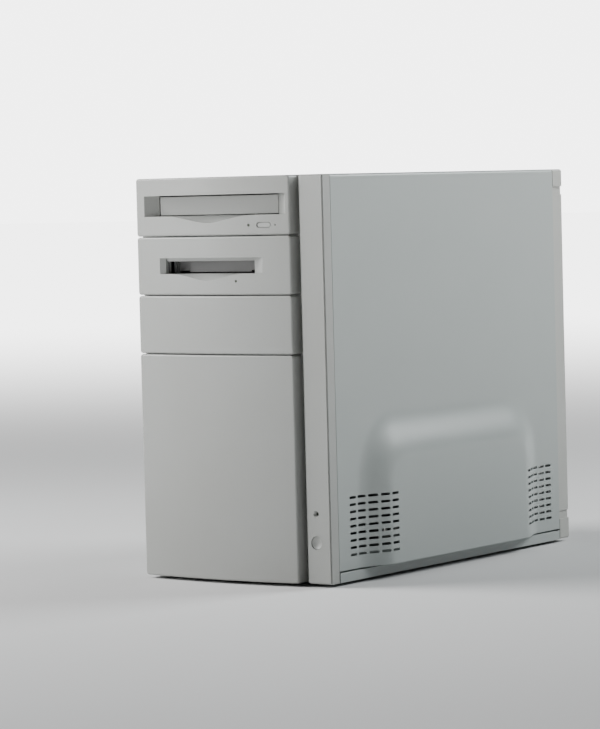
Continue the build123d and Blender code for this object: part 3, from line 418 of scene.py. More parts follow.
def soften(bm, width):
    """Rounds the edges that turn by more than an angle."""
    limit = radians(ROUNDED_FROM)
    edges = [edge for edge in bm.edges if edge.is_manifold and edge.calc_face_angle() > limit]
    bmesh.ops.bevel(
        bm, geom=edges, offset=width, offset_type="OFFSET", segments=2, profile=0.5,
        affect="EDGES", clamp_overlap=True,
    )


def shade(piece, angle=32):
    """Smooth shading that stays crisp at corners and flat on flat faces."""
    for polygon in piece.data.polygons:
        polygon.use_smooth = True
    piece.data.set_sharp_from_angle(angle=radians(angle))
    weighted = piece.modifiers.new("Weighted normals", "WEIGHTED_NORMAL")
    weighted.keep_sharp = True
    weighted.weight = 90
    return baked(piece)


def shade_bow(piece):
    """Gives the bowed front face its true normals, so that no facet shows."""
    mesh = piece.data
    normals = [Vector(corner.vector) for corner in mesh.corner_normals]
    for polygon in mesh.polygons:
        for corner in polygon.loop_indices:
            point = mesh.vertices[mesh.loops[corner].vertex_index].co
            reach = Vector((point.x - BOW_CENTRE_X, point.y - BOW_CENTRE_Y, 0))
            away = sqrt(reach.x**2 + reach.y**2)
            true = reach.normalized()
            if abs(away - BOW_RADIUS) < 0.03 * MM and polygon.normal.dot(true) > 0.96:
                normals[corner] = true
    mesh.normals_split_custom_set(normals)


def dress(piece, finish, slot=None):
    piece.data.materials.clear()
    piece.data.materials.append(FINISHES[finish])
    slot or finish


def detailed(node, body, finish, width=0.25 * MM, bowed=False, slot=None):
    """A copy of a CAD node with softened edges that stands for it."""
    bm = merged(node)
    if width:
        soften(bm, width)
    piece = shade(piece_of(bm, node + "_skin"))
    if bowed:
        shade_bow(piece)
    dress(piece, finish, slot)
    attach(piece, body)
    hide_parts(node)
    return piece


def parts_of(mesh):
    """The polygons of each connected part of a mesh."""
    bm = bmesh.new()
    bm.from_mesh(mesh)
    bm.faces.ensure_lookup_table()
    seen = set()
    for face in bm.faces:
        if face.index in seen:
            continue
        part, stack = [], [face]
        seen.add(face.index)
        while stack:
            here = stack.pop()
            part.append(here.index)
            for edge in here.edges:
                for other in edge.link_faces:
                    if other.index not in seen:
                        seen.add(other.index)
                        stack.append(other)
        yield part
    bm.free()


def paint(piece, finishes, choose):
    """Gives each polygon the finish that choose(middle of its part, polygon) names."""
    mesh = piece.data
    mesh.materials.clear()
    for finish in finishes:
        mesh.materials.append(FINISHES[finish])
    for part in parts_of(mesh):
        corners = [mesh.vertices[v].co for p in part for v in mesh.polygons[p].vertices]
        middle = (Vector(map(min, zip(*corners))) + Vector(map(max, zip(*corners)))) / 2
        for index in part:
            polygon = mesh.polygons[index]
            polygon.material_index = finishes.index(choose(middle, polygon))


# ---------------------------------------------------------------- geometry nodes
def along_points_tree(name):
    """Puts copies of an object on the points of the mesh, then makes them one mesh with one finish."""
    tree = bpy.data.node_groups.new(name, "GeometryNodeTree")
    face = tree.interface
    face.new_socket("Geometry", in_out="OUTPUT", socket_type="NodeSocketGeometry")
    face.new_socket("Points", in_out="INPUT", socket_type="NodeSocketGeometry")
    face.new_socket("Unit", in_out="INPUT", socket_type="NodeSocketObject")
    face.new_socket("Scale", in_out="INPUT", socket_type="NodeSocketFloat").default_value = 1.0
    face.new_socket("Turn", in_out="INPUT", socket_type="NodeSocketFloat").default_value = 0.0
    face.new_socket("Seed", in_out="INPUT", socket_type="NodeSocketInt").default_value = 7
    face.new_socket("Finish", in_out="INPUT", socket_type="NodeSocketMaterial")
    graph = Graph(tree)
    given = graph.add("NodeGroupInput").outputs
    unit = graph.add("GeometryNodeObjectInfo", {"Object": given["Unit"]})
    random = graph.add("FunctionNodeRandomValue", {"Seed": given["Seed"]}, data_type="FLOAT")
    turn = graph.add("ShaderNodeMath", operation="MULTIPLY")
    tree.links.new(random.outputs[1], turn.inputs[0])
    tree.links.new(given["Turn"], turn.inputs[1])
    spin = graph.add("ShaderNodeCombineXYZ", {"Y": turn.outputs[0]})
    copies = graph.add(
        "GeometryNodeInstanceOnPoints",
        {
            "Points": given["Points"],
            "Instance": unit.outputs["Geometry"],
            "Rotation": spin.outputs["Vector"],
            "Scale": given["Scale"],
        },
    )
    real = graph.add("GeometryNodeRealizeInstances", {"Geometry": copies.outputs["Instances"]})
    finished = graph.add(
        "GeometryNodeSetMaterial", {"Geometry": real.outputs["Geometry"], "Material": given["Finish"]}
    )
    graph.add("NodeGroupOutput", {"Geometry": finished.outputs["Geometry"]})
    return tree


def repeated(name, unit, points, finish, scale=1.0, turn=0.0):
    """One mesh of a unit repeated at points, made by geometry nodes. The unit is removed."""
    tree = bpy.data.node_groups.get("Copies on points") or along_points_tree("Copies on points")
    mesh = bpy.data.meshes.new(name)
    mesh.from_pydata([tuple(point) for point in points], [], [])
    piece = piece_from(mesh, name)
    modifier = piece.modifiers.new("Copies", "NODES")
    modifier.node_group = tree
    inputs = {item.name: item.identifier for item in tree.interface.items_tree if item.in_out == "INPUT"}
    modifier[inputs["Unit"]] = unit
    modifier[inputs["Scale"]] = scale
    modifier[inputs["Turn"]] = turn
    modifier[inputs["Finish"]] = FINISHES[finish]
    baked(piece)
    bpy.data.objects.remove(unit)
    return piece


# ---------------------------------------------------------------- units that are repeated
def lathe(bm, outline, steps):
    """Turns an outline of (radius, height) points round the Y axis into a closed shape."""
    rings = []
    for radius, height in outline:
        if radius < 1e-7:
            rings.append([bm.verts.new((0, height, 0))])
            continue
        ring = []
        for step in range(steps):
            turn = 2 * pi * step / steps
            ring.append(bm.verts.new((radius * cos(turn), height, radius * sin(turn))))
        rings.append(ring)
    for lower, upper in zip(rings, rings[1:]):
        for step in range(steps):
            after = (step + 1) % steps
            if len(lower) == 1:
                bm.faces.new((lower[0], upper[after], upper[step]))
            elif len(upper) == 1:
                bm.faces.new((lower[step], lower[after], upper[0]))
            else:
                bm.faces.new((lower[step], lower[after], upper[after], upper[step]))
    bmesh.ops.recalc_face_normals(bm, faces=bm.faces)


def screw_unit():
    """A hexagon-washer screw head with a cross recess, its face towards +Y."""
    bm = bmesh.new()
    flange = [(0, 0), (3.9, 0), (3.9, 0.35), (3.3, 0.7), (0, 0.7)]
    lathe(bm, [(radius * MM, height * MM) for radius, height in flange], 28)
    hexagon = [(0, 0.6), (3.1, 0.6), (3.1, 2.2), (2.75, 2.6), (0, 2.6)]
    lathe(bm, [(radius * MM, height * MM) for radius, height in hexagon], 6)
    piece = piece_of(bm, "screw_unit")
    cross = bmesh.new()
    for wide, deep in ((3.4, 0.75), (0.75, 3.4)):
        made = bmesh.ops.create_cube(cross, size=1.0)["verts"]
        bmesh.ops.scale(cross, vec=(wide * MM, 1.8 * MM, deep * MM), verts=made)
        bmesh.ops.translate(cross, vec=(0, 2.4 * MM, 0), verts=made)
    cutter = piece_of(cross, "screw_recess")
    subtract(piece, cutter)
    shade(piece, 30)
    return piece


def dot_unit(radius, height, steps=10):
    """A small round pin or hole with a softened rim, its face towards +Y."""
    bm = bmesh.new()
    rim = min(radius, height) * 0.25
    outline = [(0, 0), (radius, 0), (radius, height - rim), (radius - rim, height), (0, height)]
    lathe(bm, outline, steps)
    return shade(piece_of(bm, "dot_unit"), 40)


def slot_unit(length, height, deep):
    """A bar with rounded corners, long along Y and deep along X, that cuts a slot or is a contact."""
    bm = bmesh.new()
    radius = height * 0.42
    outline = []
    corners = (
        (length / 2 - radius, height / 2 - radius, 0),
        (-length / 2 + radius, height / 2 - radius, 90),
        (-length / 2 + radius, -height / 2 + radius, 180),
        (length / 2 - radius, -height / 2 + radius, 270),
    )
    for y, z, start in corners:
        for step in range(4):
            turn = radians(start + 30 * step)
            outline.append((y + radius * cos(turn), z + radius * sin(turn)))
    near = [bm.verts.new((-deep / 2, y, z)) for y, z in outline]
    far = [bm.verts.new((deep / 2, y, z)) for y, z in outline]
    bm.faces.new(near)
    bm.faces.new(reversed(far))
    for here in range(len(outline)):
        after = (here + 1) % len(outline)
        bm.faces.new((near[here], near[after], far[after], far[here]))
    bmesh.ops.recalc_face_normals(bm, faces=bm.faces)
    return piece_of(bm, "slot_unit")


def subtract(piece, cutter):
    """Cuts one closed shape out of another and removes the cutter."""
    cut = piece.modifiers.new("Cut", "BOOLEAN")
    cut.operation = "DIFFERENCE"
    cut.solver = "EXACT"
    cut.object = cutter
    baked(piece)
    bpy.data.objects.remove(cutter)


# ---------------------------------------------------------------- side covers
def smoothstep(share):
    share = min(max(share, 0.0), 1.0)
    return share * share * (3 - 2 * share)


def field_height(y, z, covers):
    """How far the raised field stands out at a place on the cover."""
    start, stop = FRONT + covers.field_start, FRONT + covers.field_stop
    low, high = BOTTOM - 60 * MM, BOTTOM + covers.field_top
    across = abs(y - (start + stop) / 2) - (stop - start) / 2 + covers.corner
    up = abs(z - (low + high) / 2) - (high - low) / 2 + covers.corner
    outside = sqrt(max(across, 0) ** 2 + max(up, 0) ** 2)
    depth = covers.corner - outside - min(max(across, up), 0)
    return covers.rise * smoothstep(depth / covers.ramp)


def spaced(start, stop, step):
    count = max(1, round((stop - start) / step))
    return [start + (stop - start) * number / count for number in range(count + 1)]


def cover_skin(covers):
    """The outer surface of the right side cover: flat, raised over the field, turned in at the top."""
    columns = spaced(cover_low.y, cover_high.y, 3 * MM)
    rows = [(SIDE, z) for z in spaced(cover_low.z, cover_high.z - 3 * MM, 3 * MM)]
    for turn in range(15, 91, 15):
        around = radians(turn)
        rows.append((SIDE - 3 * MM + 3 * MM * cos(around), cover_high.z - 3 * MM + 3 * MM * sin(around)))
    rows += [(x, cover_high.z) for x in spaced(SIDE - 5 * MM, cover_low.x, 2.5 * MM)]
    bm = bmesh.new()
    grid = []
    for x, z in rows:
        line = []
        for y in columns:
            out = field_height(y, z, covers) if x > SIDE - 0.1 * MM else 0
            line.append(bm.verts.new((x + out, y, z)))
        grid.append(line)
    for lower, upper in zip(grid, grid[1:]):
        for number in range(len(columns) - 1):
            bm.faces.new((lower[number], lower[number + 1], upper[number + 1], upper[number]))
    return piece_of(bm, "right_cover_panel")


def vent_places(covers):
    """Middles of every vent slot, in a front group and a rear group."""
    pitch_y, pitch_z = 12.9 * MM, 6.38 * MM
    wide = (covers.vent_columns - 1) * pitch_y
    firsts = (FRONT + 31 * MM, FRONT + 384 * MM - covers.vent_length - wide)
    for first in firsts:
        for column in range(covers.vent_columns):
            for row in range(covers.vent_rows):
                y = first + covers.vent_length / 2 + column * pitch_y
                yield Vector((SIDE + covers.rise / 2, y, BOTTOM + 23 * MM + row * pitch_z))


class TOWER_OT_side_covers(bpy.types.Operator):
    """Make both sheet-steel side covers with their raised fields and vent slots"""

    bl_idname = "tower.side_covers"
    bl_label = "Side Covers"

    def execute(self, context):
        covers = context.scene.tower_covers
        right = cover_skin(covers)
        wall = right.modifiers.new("Sheet", "SOLIDIFY")
        wall.thickness = covers.sheet
        wall.offset = -1
        wall.use_even_offset = True
        baked(right)
        unit = slot_unit(covers.vent_length, covers.vent_height, covers.rise + 8 * MM)
        slots = repeated("vent_slots", unit, vent_places(covers), "cover_paint")
        subtract(right, slots)
        left = piece_from(right.data.copy(), "left_cover_panel")
        left.data.transform(Matrix.Scale(-1, 4, (1, 0, 0)))
        left.data.flip_normals()
        for piece, body in ((right, "right_side_cover"), (left, "left_side_cover")):
            shade(piece, 35)
            dress(piece, "cover_paint")
            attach(piece, body)
            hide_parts(body)
        return {"FINISHED"}


# ---------------------------------------------------------------- front
class TOWER_OT_front_panels(bpy.types.Operator):
    """Make the four bowed panels of the drive column, the tray's door and the floppy flap"""

    bl_idname = "tower.front_panels"
    bl_label = "Front Panels"

    def execute(self, context):
        for node in ("cd_bezel", "floppy_bezel", "blank_bay_cover", "lower_front_cover"):
            detailed(node, "case", "panel_plastic", 0.35 * MM, bowed=True)
        detailed("cd_tray_door", "cd_tray", "panel_plastic", 0)
        detailed("floppy_flap", "floppy_flap", "flap_plastic", 0.2 * MM)
        return {"FINISHED"}


def dished_button():
    """The round power button with its dished face, its collar and its stem."""
    outline = [(0, 0), (1.5, 0), (1.5, 8.3), (7.2, 8.3), (7.2, 9.9), (5.95, 9.9), (5.95, 17.1), (5.85, 17.6)]
    outline += [(5.5, 17.85), (5.1, 17.8), (4.5, 17.4), (3.6, 16.9), (2.4, 16.5), (1.2, 16.3), (0, 16.2)]
    bm = bmesh.new()
    lathe(bm, [(radius * MM, height * MM) for radius, height in outline], 56)
    middle = (bezel_high.x - 15 * MM, FRONT + 18.6 * MM, BOTTOM + 36.4 * MM)
    turned = Matrix.Translation(middle) @ Matrix.Rotation(pi, 4, "Z")
    bmesh.ops.transform(bm, matrix=turned, verts=bm.verts)
    button = shade(piece_of(bm, "power_button_cap"), 40)
    dress(button, "panel_plastic")
    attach(button, "power_button")
    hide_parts("power_button")


class TOWER_OT_column(bpy.types.Operator):
    """Make the button column with its backing plate, the buttons and the lamps"""

    bl_idname = "tower.column"
    bl_label = "Button Column"

    def execute(self, context):
        detailed("front_bezel", "case", "bezel_plastic", 0.3 * MM)
        dished_button()
        detailed("cd_eject_button", "cd_eject_button", "panel_plastic", 0)
        detailed("indicator_lamps", "case", "lamp_plastic", 0.2 * MM)
        return {"FINISHED"}


# ---------------------------------------------------------------- outer case
class TOWER_OT_outer_case(bpy.types.Operator):
    """Make the top cover, base pan, rear frame and feet"""

    bl_idname = "tower.outer_case"
    bl_label = "Outer Case"

    def execute(self, context):
        for node, finish in (
            ("top_cover", "cover_paint"),
            ("base_pan", "cover_paint"),
            ("rear_frame", "frame_plastic"),
            ("feet", "foot_rubber"),
        ):
            detailed(node, "case", finish)
        return {"FINISHED"}


# ---------------------------------------------------------------- back and inside
def at(x, y, z):
    """A place given in millimetres."""
    return Vector((x, y, z)) * MM


# Heights in millimetres above the bottom from which each kind of port on the board is found.
ROUND_PORTS, VIOLET_PORT, FLAT_PORTS, SHELLED_PORTS, GREEN_JACK, BLUE_JACK = 205, 224, 190, 140, 121, 108
ROUND_PORT_MIDDLES = (231, 216.5)
ROUND_PORT_X = board_low.x - 7 * MM
PORT_SHELL = (0.7, 6.2)  # millimetres out from the rear panel's inner side, where a shell is bare


def port_finish(middle, polygon):
    """The finish of one face of the board's own ports, by its height and depth."""
    up = (middle.z - BOTTOM) / MM
    spot = polygon.center
    out = (spot.y - rear_low.y) / MM
    if up > ROUND_PORTS:
        ring = sqrt((spot.x - ROUND_PORT_X) ** 2 + (spot.z - middle.z) ** 2)
        if ring < 4.7 * MM and -8 < out < 0.5:
            return "black_plastic"
        return "port_violet" if up > VIOLET_PORT else "port_green"
    if up > FLAT_PORTS:
        inner = -0.25 * MM < spot.x - middle.x < 1.65 * MM and abs(spot.z - middle.z) < 5.3 * MM
        return "white_plastic" if inner and out < 0.5 else "tin"
    if up > SHELLED_PORTS:
        if PORT_SHELL[0] < out < PORT_SHELL[1]:
            return "tin"
        return "port_plum" if middle.x < board_low.x - 10 * MM else "port_teal"
    if up > GREEN_JACK:
        return "port_green"
    return "port_blue" if up > BLUE_JACK else "port_pink"


def card_port_finish(middle, polygon):
    """The finish of one face of the ports on the cards: the screen's above, the network's below."""
    out = (polygon.center.y - rear_low.y) / MM
    if middle.z > BOTTOM + 60 * MM:
        return "tin" if PORT_SHELL[0] < out < PORT_SHELL[1] else "port_blue"
    aside = abs(polygon.center.x - middle.x), abs(polygon.center.z - middle.z - 0.05 * MM)
    return "black_plastic" if out < 0.85 and aside[0] < 6.1 * MM and aside[1] < 3.1 * MM else "tin"


def contact_rows(x, z, counts, pitch, apart, along_x=False):
    """Places of the contacts in a D-shaped port."""
    for row, count in enumerate(counts):
        for number in range(count):
            length = (number - (count - 1) / 2) * pitch
            side = (row - (len(counts) - 1) / 2) * apart
            across, up = (length, side) if along_x else (side, length)
            yield Vector((x + across * MM, rear_low.y + 6.35 * MM, z + up * MM))


class TOWER_OT_rear_ports(bpy.types.Operator):
    """Make the ports on the back with their shells, inserts and contacts"""

    bl_idname = "tower.rear_ports"
    bl_label = "Rear Ports"

    def execute(self, context):
        ports = detailed("io_ports", "case", "component_mix", 0.12 * MM)
        finishes = ["port_violet", "port_green", "port_teal", "port_plum", "port_blue", "port_pink"]
        paint(ports, finishes + ["tin", "black_plastic", "white_plastic"], port_finish)
        cards = detailed("card_ports", "case", "component_mix", 0.12 * MM)
        paint(cards, ["port_blue", "tin", "black_plastic"], card_port_finish)

        face = board_low.x
        holes = list(contact_rows(face - 26 * MM, BOTTOM + 163 * MM, (13, 12), 2.77, 2.84))
        holes += contact_rows(face - 32.5 * MM, BOTTOM + 75.8 * MM, (5, 5, 5), 2.29, 1.98, True)
        holes += [Vector((hole.x, hole.y - 6.6 * MM, hole.z)) for hole in self.round_port_holes()]
        dark = repeated("port_holes", dot_unit(0.5 * MM, 0.3 * MM), holes, "black_plastic")
        pins = contact_rows(face - 7 * MM, BOTTOM + 168 * MM, (5, 4), 2.77, 2.84)
        gilt = repeated("port_pins", dot_unit(0.5 * MM, 0.3 * MM), pins, "contact_gold")
        level = BOTTOM + 38.16 * MM
        across = [face - (36.4 - 1.25 * number) * MM for number in range(8)]
        strips = [Vector((x, rear_low.y - 5 * MM, level - 2.6 * MM)) for x in across]
        bar = slot_unit(8 * MM, 0.5 * MM, 0.6 * MM)
        strip = repeated("network_contacts", bar, strips, "contact_gold")
        for piece in (dark, gilt, strip):
            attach(piece, "case")
        return {"FINISHED"}

    def round_port_holes(self):
        """Places of the holes in the two round ports"""
        for z in ROUND_PORT_MIDDLES:
            for turn in (30, 90, 150, 210, 330):
                around = radians(turn)
                x = ROUND_PORT_X + 2.5 * MM * cos(around)
                yield Vector((x, rear_low.y + 6 * MM, BOTTOM + z * MM + 2.5 * MM * sin(around)))


class TOWER_OT_screws(bpy.types.Operator):
    """Make the screws on the back and those that hold the main board on its posts"""

    bl_idname = "tower.screws"
    bl_label = "Screws"

    def execute(self, context):
        left, right = supply_low.x, supply_high.x
        low, high = supply_low.z, supply_high.z
        corners = [(left + 6 * MM, high - 6 * MM), (right - 6 * MM, high - 6 * MM)]
        corners += [(left + 6 * MM, low + 6 * MM), (right - 6 * MM, low + 16 * MM)]
        middle = (fan_low + fan_high) / 2
        reach = 35.76 * MM
        corners += [(middle.x + a * reach, middle.z + b * reach) for a in (-1, 1) for b in (-1, 1)]
        places = [Vector((x, rear_high.y, z)) for x, z in corners]
        rear = repeated("rear_screws", screw_unit(), places, "tin", turn=2 * pi)
        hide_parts("case_screws")

        columns = (board_low.y + 8 * MM, board_low.y + 120 * MM, board_high.y - 8 * MM)
        holes = [(y, z) for y in columns for z in (board_low.z + 12 * MM, board_high.z - 12 * MM)]
        turned = Matrix.Rotation(pi / 2, 4, "Z")
        screw = screw_unit()
        screw.data.transform(turned @ Matrix.Scale(0.8, 4))
        heads = repeated("board_screws", screw, [Vector((board_low.x, y, z)) for y, z in holes], "tin")
        bm = bmesh.new()
        lathe(bm, [(0, 0), (2.8 * MM, 0), (2.8 * MM, 5.4 * MM), (0, 5.4 * MM)], 6)
        post = piece_of(bm, "board_post")
        post.data.transform(turned)
        back = board_high.x + 5.4 * MM
        posts = repeated("board_posts", post, [Vector((back, y, z)) for y, z in holes], "wire_chrome")
        for piece in (rear, heads, posts):
            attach(piece, "case")
        return {"FINISHED"}


def component_finish(middle, polygon):
    """The finish of one face of a part on the main board, by where it stands from the lower front corner."""
    deep = (board_low.x - middle.x) / MM
    along, up = (middle.y - board_low.y) / MM, (middle.z - board_low.z) / MM
    if 76 < up < 84 and along < 60:
        return "white_plastic"
    if along < 14 and up < 80:
        return "port_blue"
    if along < 26 and up < 80:
        return "black_plastic"
    if 60 < up < 70 and 68 < along < 78:
        return "tin"
    if deep < 2:
        return "black_plastic"
    return "tin" if polygon.normal.x < -0.9 else "sleeve"


def socket_finish(middle, polygon):
    """Black at the front, brown for the upper card slot and ivory for the others."""
    if middle.y < board_low.y + 60 * MM:
        return "black_plastic"
    return "slot_brown" if middle.z > BOTTOM + 75 * MM else "white_plastic"


def module_finish(middle, polygon):
    if abs(polygon.center.y - middle.y) > 0.75 * MM:
        return "black_plastic"
    return "contact_gold" if polygon.center.x > board_low.x - 6 * MM else "laminate_green"


def card_finish(middle, polygon):
    if polygon.center.z < middle.z + 0.7 * MM:
        return "black_plastic"
    return "contact_gold" if polygon.center.x > board_low.x - 11.1 * MM else "laminate_green"


def disk_board_finish(middle, polygon):
    return "black_plastic" if polygon.center.z < BOTTOM + 160.15 * MM else "laminate_green"


def supply_board_finish(middle, polygon):
    return "laminate_tan" if polygon.center.z < supply_low.z + 7.7 * MM else "component_mix"


def flat_cable_finish(middle, polygon):
    spot = polygon.center
    plug = spot.x > board_low.x - 17.2 * MM and spot.y < board_low.y + 14 * MM
    return "black_plastic" if plug else "ribbon_vinyl"


class TOWER_OT_boards(bpy.types.Operator):
    """Finish the boards, cards and flat cables with their chips, sockets, capacitors and contacts"""

    bl_idname = "tower.boards"
    bl_label = "Boards and Cards"

    def execute(self, context):
        chosen = (
            ("board_components", "component_mix", component_finish),
            ("board_sockets", "white_plastic", socket_finish),
            ("memory_modules", "laminate_green", module_finish),
            ("graphics_card", "laminate_green", card_finish),
            ("network_card", "laminate_green", card_finish),
            ("hard_disk_board", "laminate_green", disk_board_finish),
            ("psu_board", "component_mix", supply_board_finish),
            ("ribbon_cables", "ribbon_vinyl", flat_cable_finish),
        )
        finishes = ["black_plastic", "white_plastic", "port_blue", "tin", "sleeve", "slot_brown"]
        finishes += ["contact_gold", "laminate_green", "laminate_tan", "component_mix", "ribbon_vinyl"]
        for node, slot, choose in chosen:
            piece = detailed(node, "case", "black_plastic", 0, slot=slot)
            paint(piece, finishes, choose)
        return {"FINISHED"}


# ---------------------------------------------------------------- leads
LEADS = {
    "board_lead": (
        [
            (35, 63, 283), (35, 37, 283), (36, 10, 250), (38, 0, 190),
            (40, -3, 140), (47, -3, 104), (66.5, -3, 97),
        ],
        [
            "wire_red", "wire_black", "wire_orange", "wire_black",
            "wire_yellow", "wire_white", "wire_black", "wire_red",
        ],
        (3.0, 1.12),
    ),
    "disc_lead": (
        [(34, 63, 305), (34, 43, 305), (34, 26, 320), (34, 8, 320)],
        ["wire_yellow", "wire_black", "wire_black", "wire_red"],
        (1.6, 1.1),
    ),
    "disk_lead": (
        [(-52, 63, 290), (-52, 41, 290), (-56, 12, 250), (-56, 4, 195), (-54, -2, 166), (-52, -14, 158)],
        ["wire_yellow", "wire_black", "wire_black", "wire_red"],
        (1.6, 1.1),
    ),
    "floppy_lead": (
        [
            (-40, -32.6, 281), (-40, -16, 280), (-40, -7, 240), (-40, -7, 190),
            (-38, -8, 140), (-20, -14, 92), (20, -20.5, 72), (73.5, -20.5, 70),
        ],
        ["ribbon_vinyl"] * 9 + ["wire_red"],
        (2.4, 0.85),
    ),
}
PLUGS = (
    ("white_plastic", (65.5, 77.4, -28, 22, 93.2, 100.8)),
    ("white_plastic", (24, 44, 2.5, 12, 316.2, 324.2)),
    ("white_plastic", (-62, -42, -20, -10, 154, 162)),
    ("black_plastic", (-62, -20, -40.6, -31.6, 277.5, 284.5)),
    ("black_plastic", (72.5, 79.4, -24.5, -16.5, 51, 91)),
)


def smooth_line(points):
    """Points along the smooth curve that the route's corners guide."""
    curve = bpy.data.curves.new("route", "CURVE")
    curve.dimensions = "3D"
    curve.resolution_u = 10
    spline = curve.splines.new("NURBS")
    spline.points.add(len(points) - 1)
    for corner, point in zip(spline.points, points):
        corner.co = (*at(*point), 1)
    spline.order_u = 3
    spline.use_endpoint_u = True
    holder = piece_from(curve, "route")
    graph = bpy.context.evaluated_depsgraph_get()
    mesh = bpy.data.meshes.new_from_object(holder.evaluated_get(graph))
    line = [vertex.co.copy() for vertex in mesh.vertices]
    bpy.data.objects.remove(holder)
    return line


def twisted_wires(bm, line, count, ring, radius, steps=8):
    """Wires laid in a slow twist round a line; wire n has material n."""
    ways = [(after - before).normalized() for before, after in zip(line, line[1:])]
    ways.append(ways[-1])
    side = ways[0].orthogonal().normalized()
    run = 0.0
    frames = []
    for number, (point, way) in enumerate(zip(line, ways)):
        side = (side - way * side.dot(way)).normalized()
        if number:
            run += (point - line[number - 1]).length
        frames.append((point, side.copy(), way.cross(side), run))
    for wire in range(count):
        rings = []
        for point, across, up, length in frames:
            turn = 2 * pi * wire / count + length / (45 * MM)
            middle = point + (across * cos(turn) + up * sin(turn)) * ring
            loop = []
            for step in range(steps):
                around = 2 * pi * step / steps
                loop.append(bm.verts.new(middle + (across * cos(around) + up * sin(around)) * radius))
            rings.append(loop)
        for first, second in zip(rings, rings[1:]):
            for step in range(steps):
                after = (step + 1) % steps
                face = bm.faces.new((first[step], first[after], second[after], second[step]))
                face.material_index = wire
        for end in (rings[0], rings[-1]):
            bm.faces.new(end).material_index = wire
    bmesh.ops.recalc_face_normals(bm, faces=bm.faces)


class TOWER_OT_leads(bpy.types.Operator):
    """Make the leads from the power supply and the drives as bundles of single wires with their plugs"""

    bl_idname = "tower.leads"
    bl_label = "Leads"

    def execute(self, context):
        for name, (route, wires, (ring, radius)) in LEADS.items():
            bm = bmesh.new()
            twisted_wires(bm, smooth_line(route), len(wires), ring * MM, radius * MM)
            piece = piece_of(bm, name)
            for wire in wires:
                piece.data.materials.append(FINISHES[wire])
            shade(piece, 60)
            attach(piece, "case")
            if name == "board_lead":
                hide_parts("power_leads")
        for number, (finish, (x0, x1, y0, y1, z0, z1)) in enumerate(PLUGS):
            bm = bmesh.new()
            bmesh.ops.create_cube(bm, size=1.0)
            bmesh.ops.scale(bm, vec=at(x1 - x0, y1 - y0, z1 - z0), verts=bm.verts)
            centre = at((x0 + x1) / 2, (y0 + y1) / 2, (z0 + z1) / 2)
            bmesh.ops.translate(bm, vec=centre, verts=bm.verts)
            soften(bm, 0.6 * MM)
            plug = shade(piece_of(bm, f"plug_{number + 1}"))
            dress(plug, finish, "lead_vinyl")
            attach(plug, "case")
        return {"FINISHED"}


# ---------------------------------------------------------------- stage
def area_light(name, place, target, size, power, tint=(1, 1, 1)):
    data = bpy.data.lights.new(name, "AREA")
    data.shape = "RECTANGLE"
    data.size, data.size_y = size
    data.energy = power
    data.color = tint
    light = bpy.data.objects.new(name, data)
    bpy.context.scene.collection.objects.link(light)
    light.location = place
    light.rotation_euler = (Vector(target) - Vector(place)).to_track_quat("-Z", "Y").to_euler()


class TOWER_OT_stage(bpy.types.Operator):
    """Set out the pale floor, the soft lights and the camera"""

    bl_idname = "tower.stage"
    bl_label = "Stage"

    def execute(self, context):
        settings = context.scene.tower_stage
        scene = context.scene
        floor = bmesh.new()
        bmesh.ops.create_grid(floor, x_segments=1, y_segments=1, size=30.0)
        ground = piece_of(floor, "floor")
        material, graph, shader, place = new_material("Pale floor", "plastic")
        tone = noise(graph, place, 0.7, 2)
        base = mixed(graph, spread(graph, tone, 0, 1), (0.66, 0.66, 0.66, 1), (0.69, 0.69, 0.69, 1))
        graph.tree.links.new(base, shader.inputs["Base Color"])
        shader.inputs["Roughness"].default_value = 0.9
        shader.inputs["Emission Color"].default_value = (1.0, 1.0, 1.0, 1.0)
        away = graph.add("ShaderNodeVectorMath", {0: place}, operation="LENGTH").outputs["Value"]
        near_to_far = graph.add(
            "ShaderNodeMapRange",
            {"Value": away, "From Min": 0.9, "From Max": 6.0, "To Min": 0.0, "To Max": settings.glow},
            interpolation_type="SMOOTHSTEP",
        ).outputs["Result"]
        graph.tree.links.new(near_to_far, shader.inputs["Emission Strength"])
        ground.data.materials.append(material)

        world = bpy.data.worlds.new("Studio")
        scene.world = world
        world.use_nodes = True
        graph = Graph(world.node_tree)
        seen = graph.add("ShaderNodeLightPath").outputs["Is Camera Ray"]
        strength = spread(graph, seen, settings.ambient, settings.backdrop, 0, 1)
        world.node_tree.links.new(strength, world.node_tree.nodes["Background"].inputs["Strength"])
        world.node_tree.nodes["Background"].inputs["Color"].default_value = (1.0, 1.0, 1.0, 1.0)

        middle = (0.0, 0.0, 0.19)
        area_light("key", (-1.3, -0.72, 1.2), middle, (0.9, 0.9), settings.key)
        area_light("fill", (1.05, 1.5, 1.35), middle, (1.2, 0.9), settings.fill, (0.95, 0.99, 1.0))
        area_light("strip", (-1.55, -1.75, 0.9), (0.0, -0.2, 0.5), (0.28, 1.2), settings.strip)

        data = bpy.data.cameras.new("camera")
        data.lens = settings.lens
        data.sensor_width = 36.0
        data.sensor_fit = "AUTO"
        data.clip_start, data.clip_end = 0.05, 100.0
        camera = bpy.data.objects.new("camera", data)
        scene.collection.objects.link(camera)
        camera.matrix_world = camera_place()
        scene.camera = camera
        return {"FINISHED"}


CAMERA_PLACE = (1.7454, -2.6269, 0.3524)
HEADING, PITCH, ROLL = 0.6038, 0.0527, -0.0258  # radians


def camera_place():
    """Where the camera stands: off the right front corner, a little below the top, slightly rolled."""
    heading, pitch, roll = HEADING, PITCH, ROLL
    forward = Vector((-sin(heading) * cos(pitch), cos(heading) * cos(pitch), -sin(pitch)))
    right = Vector((cos(heading), sin(heading), 0))
    up = right.cross(forward)
    right, up = right * cos(roll) + up * sin(roll), up * cos(roll) - right * sin(roll)
    turn = Matrix((right, up, -forward)).transposed()
    return Matrix.Translation(CAMERA_PLACE) @ turn.to_4x4()


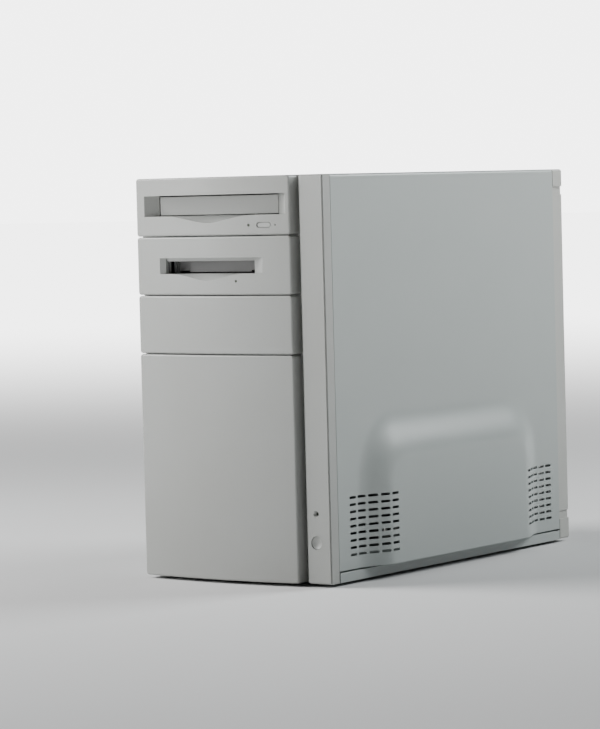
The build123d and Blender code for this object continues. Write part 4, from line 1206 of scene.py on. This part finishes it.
# ---------------------------------------------------------------- everything else on the frame
class TOWER_OT_finish_frame(bpy.types.Operator):
    """Give every remaining piece of the frame its finish"""

    bl_idname = "tower.finish_frame"
    bl_label = "Finish the Frame"

    def execute(self, context):
        slots = {part["node"]: part["material_slot"] for part in frame["record"]["subparts"]}
        for node, piece in frame["nodes"].items():
            finish = FINISHES.get(slots[node], FINISHES["component_mix"])
            for holder in piece.material_slots:
                holder.material = finish
        return {"FINISHED"}


class TOWER_PT_sidebar(bpy.types.Panel):
    """Lists the pieces of the tower and their settings"""

    bl_label = "Desktop Computer Tower"
    bl_space_type = "VIEW_3D"
    bl_region_type = "UI"
    bl_category = "Tower"

    def draw(self, context):
        scene = context.scene
        for settings in (scene.tower_finishes, scene.tower_covers, scene.tower_stage):
            box = self.layout.box()
            for name in settings.bl_rna.properties.keys():
                if name not in ("rna_type", "name"):
                    box.prop(settings, name)
        for step in STEPS:
            self.layout.operator(step.bl_idname)


class TOWER_OT_finishes(bpy.types.Operator):
    """Make every finish"""

    bl_idname = "tower.finishes"
    bl_label = "Finishes"

    def execute(self, context):
        make_finishes(context.scene.tower_finishes)
        return {"FINISHED"}


STEPS = (
    TOWER_OT_finishes,
    TOWER_OT_stage,
    TOWER_OT_front_panels,
    TOWER_OT_column,
    TOWER_OT_side_covers,
    TOWER_OT_outer_case,
    TOWER_OT_rear_ports,
    TOWER_OT_screws,
    TOWER_OT_boards,
    TOWER_OT_leads,
    TOWER_OT_finish_frame,
)
SETTINGS = (TowerFinishes, TowerCovers, TowerStage)


def register():
    for item in (*SETTINGS, *STEPS, TOWER_PT_sidebar):
        bpy.utils.register_class(item)
    bpy.types.Scene.tower_finishes = PointerProperty(type=TowerFinishes)
    bpy.types.Scene.tower_covers = PointerProperty(type=TowerCovers)
    bpy.types.Scene.tower_stage = PointerProperty(type=TowerStage)


def unregister():
    del bpy.types.Scene.tower_stage
    del bpy.types.Scene.tower_covers
    del bpy.types.Scene.tower_finishes
    for item in reversed((*SETTINGS, *STEPS, TOWER_PT_sidebar)):
        bpy.utils.unregister_class(item)


def main():
    register()
    for step in STEPS:
        group, name = step.bl_idname.split(".")
        getattr(getattr(bpy.ops, group), name)()


if __name__ == "__main__":
    main()
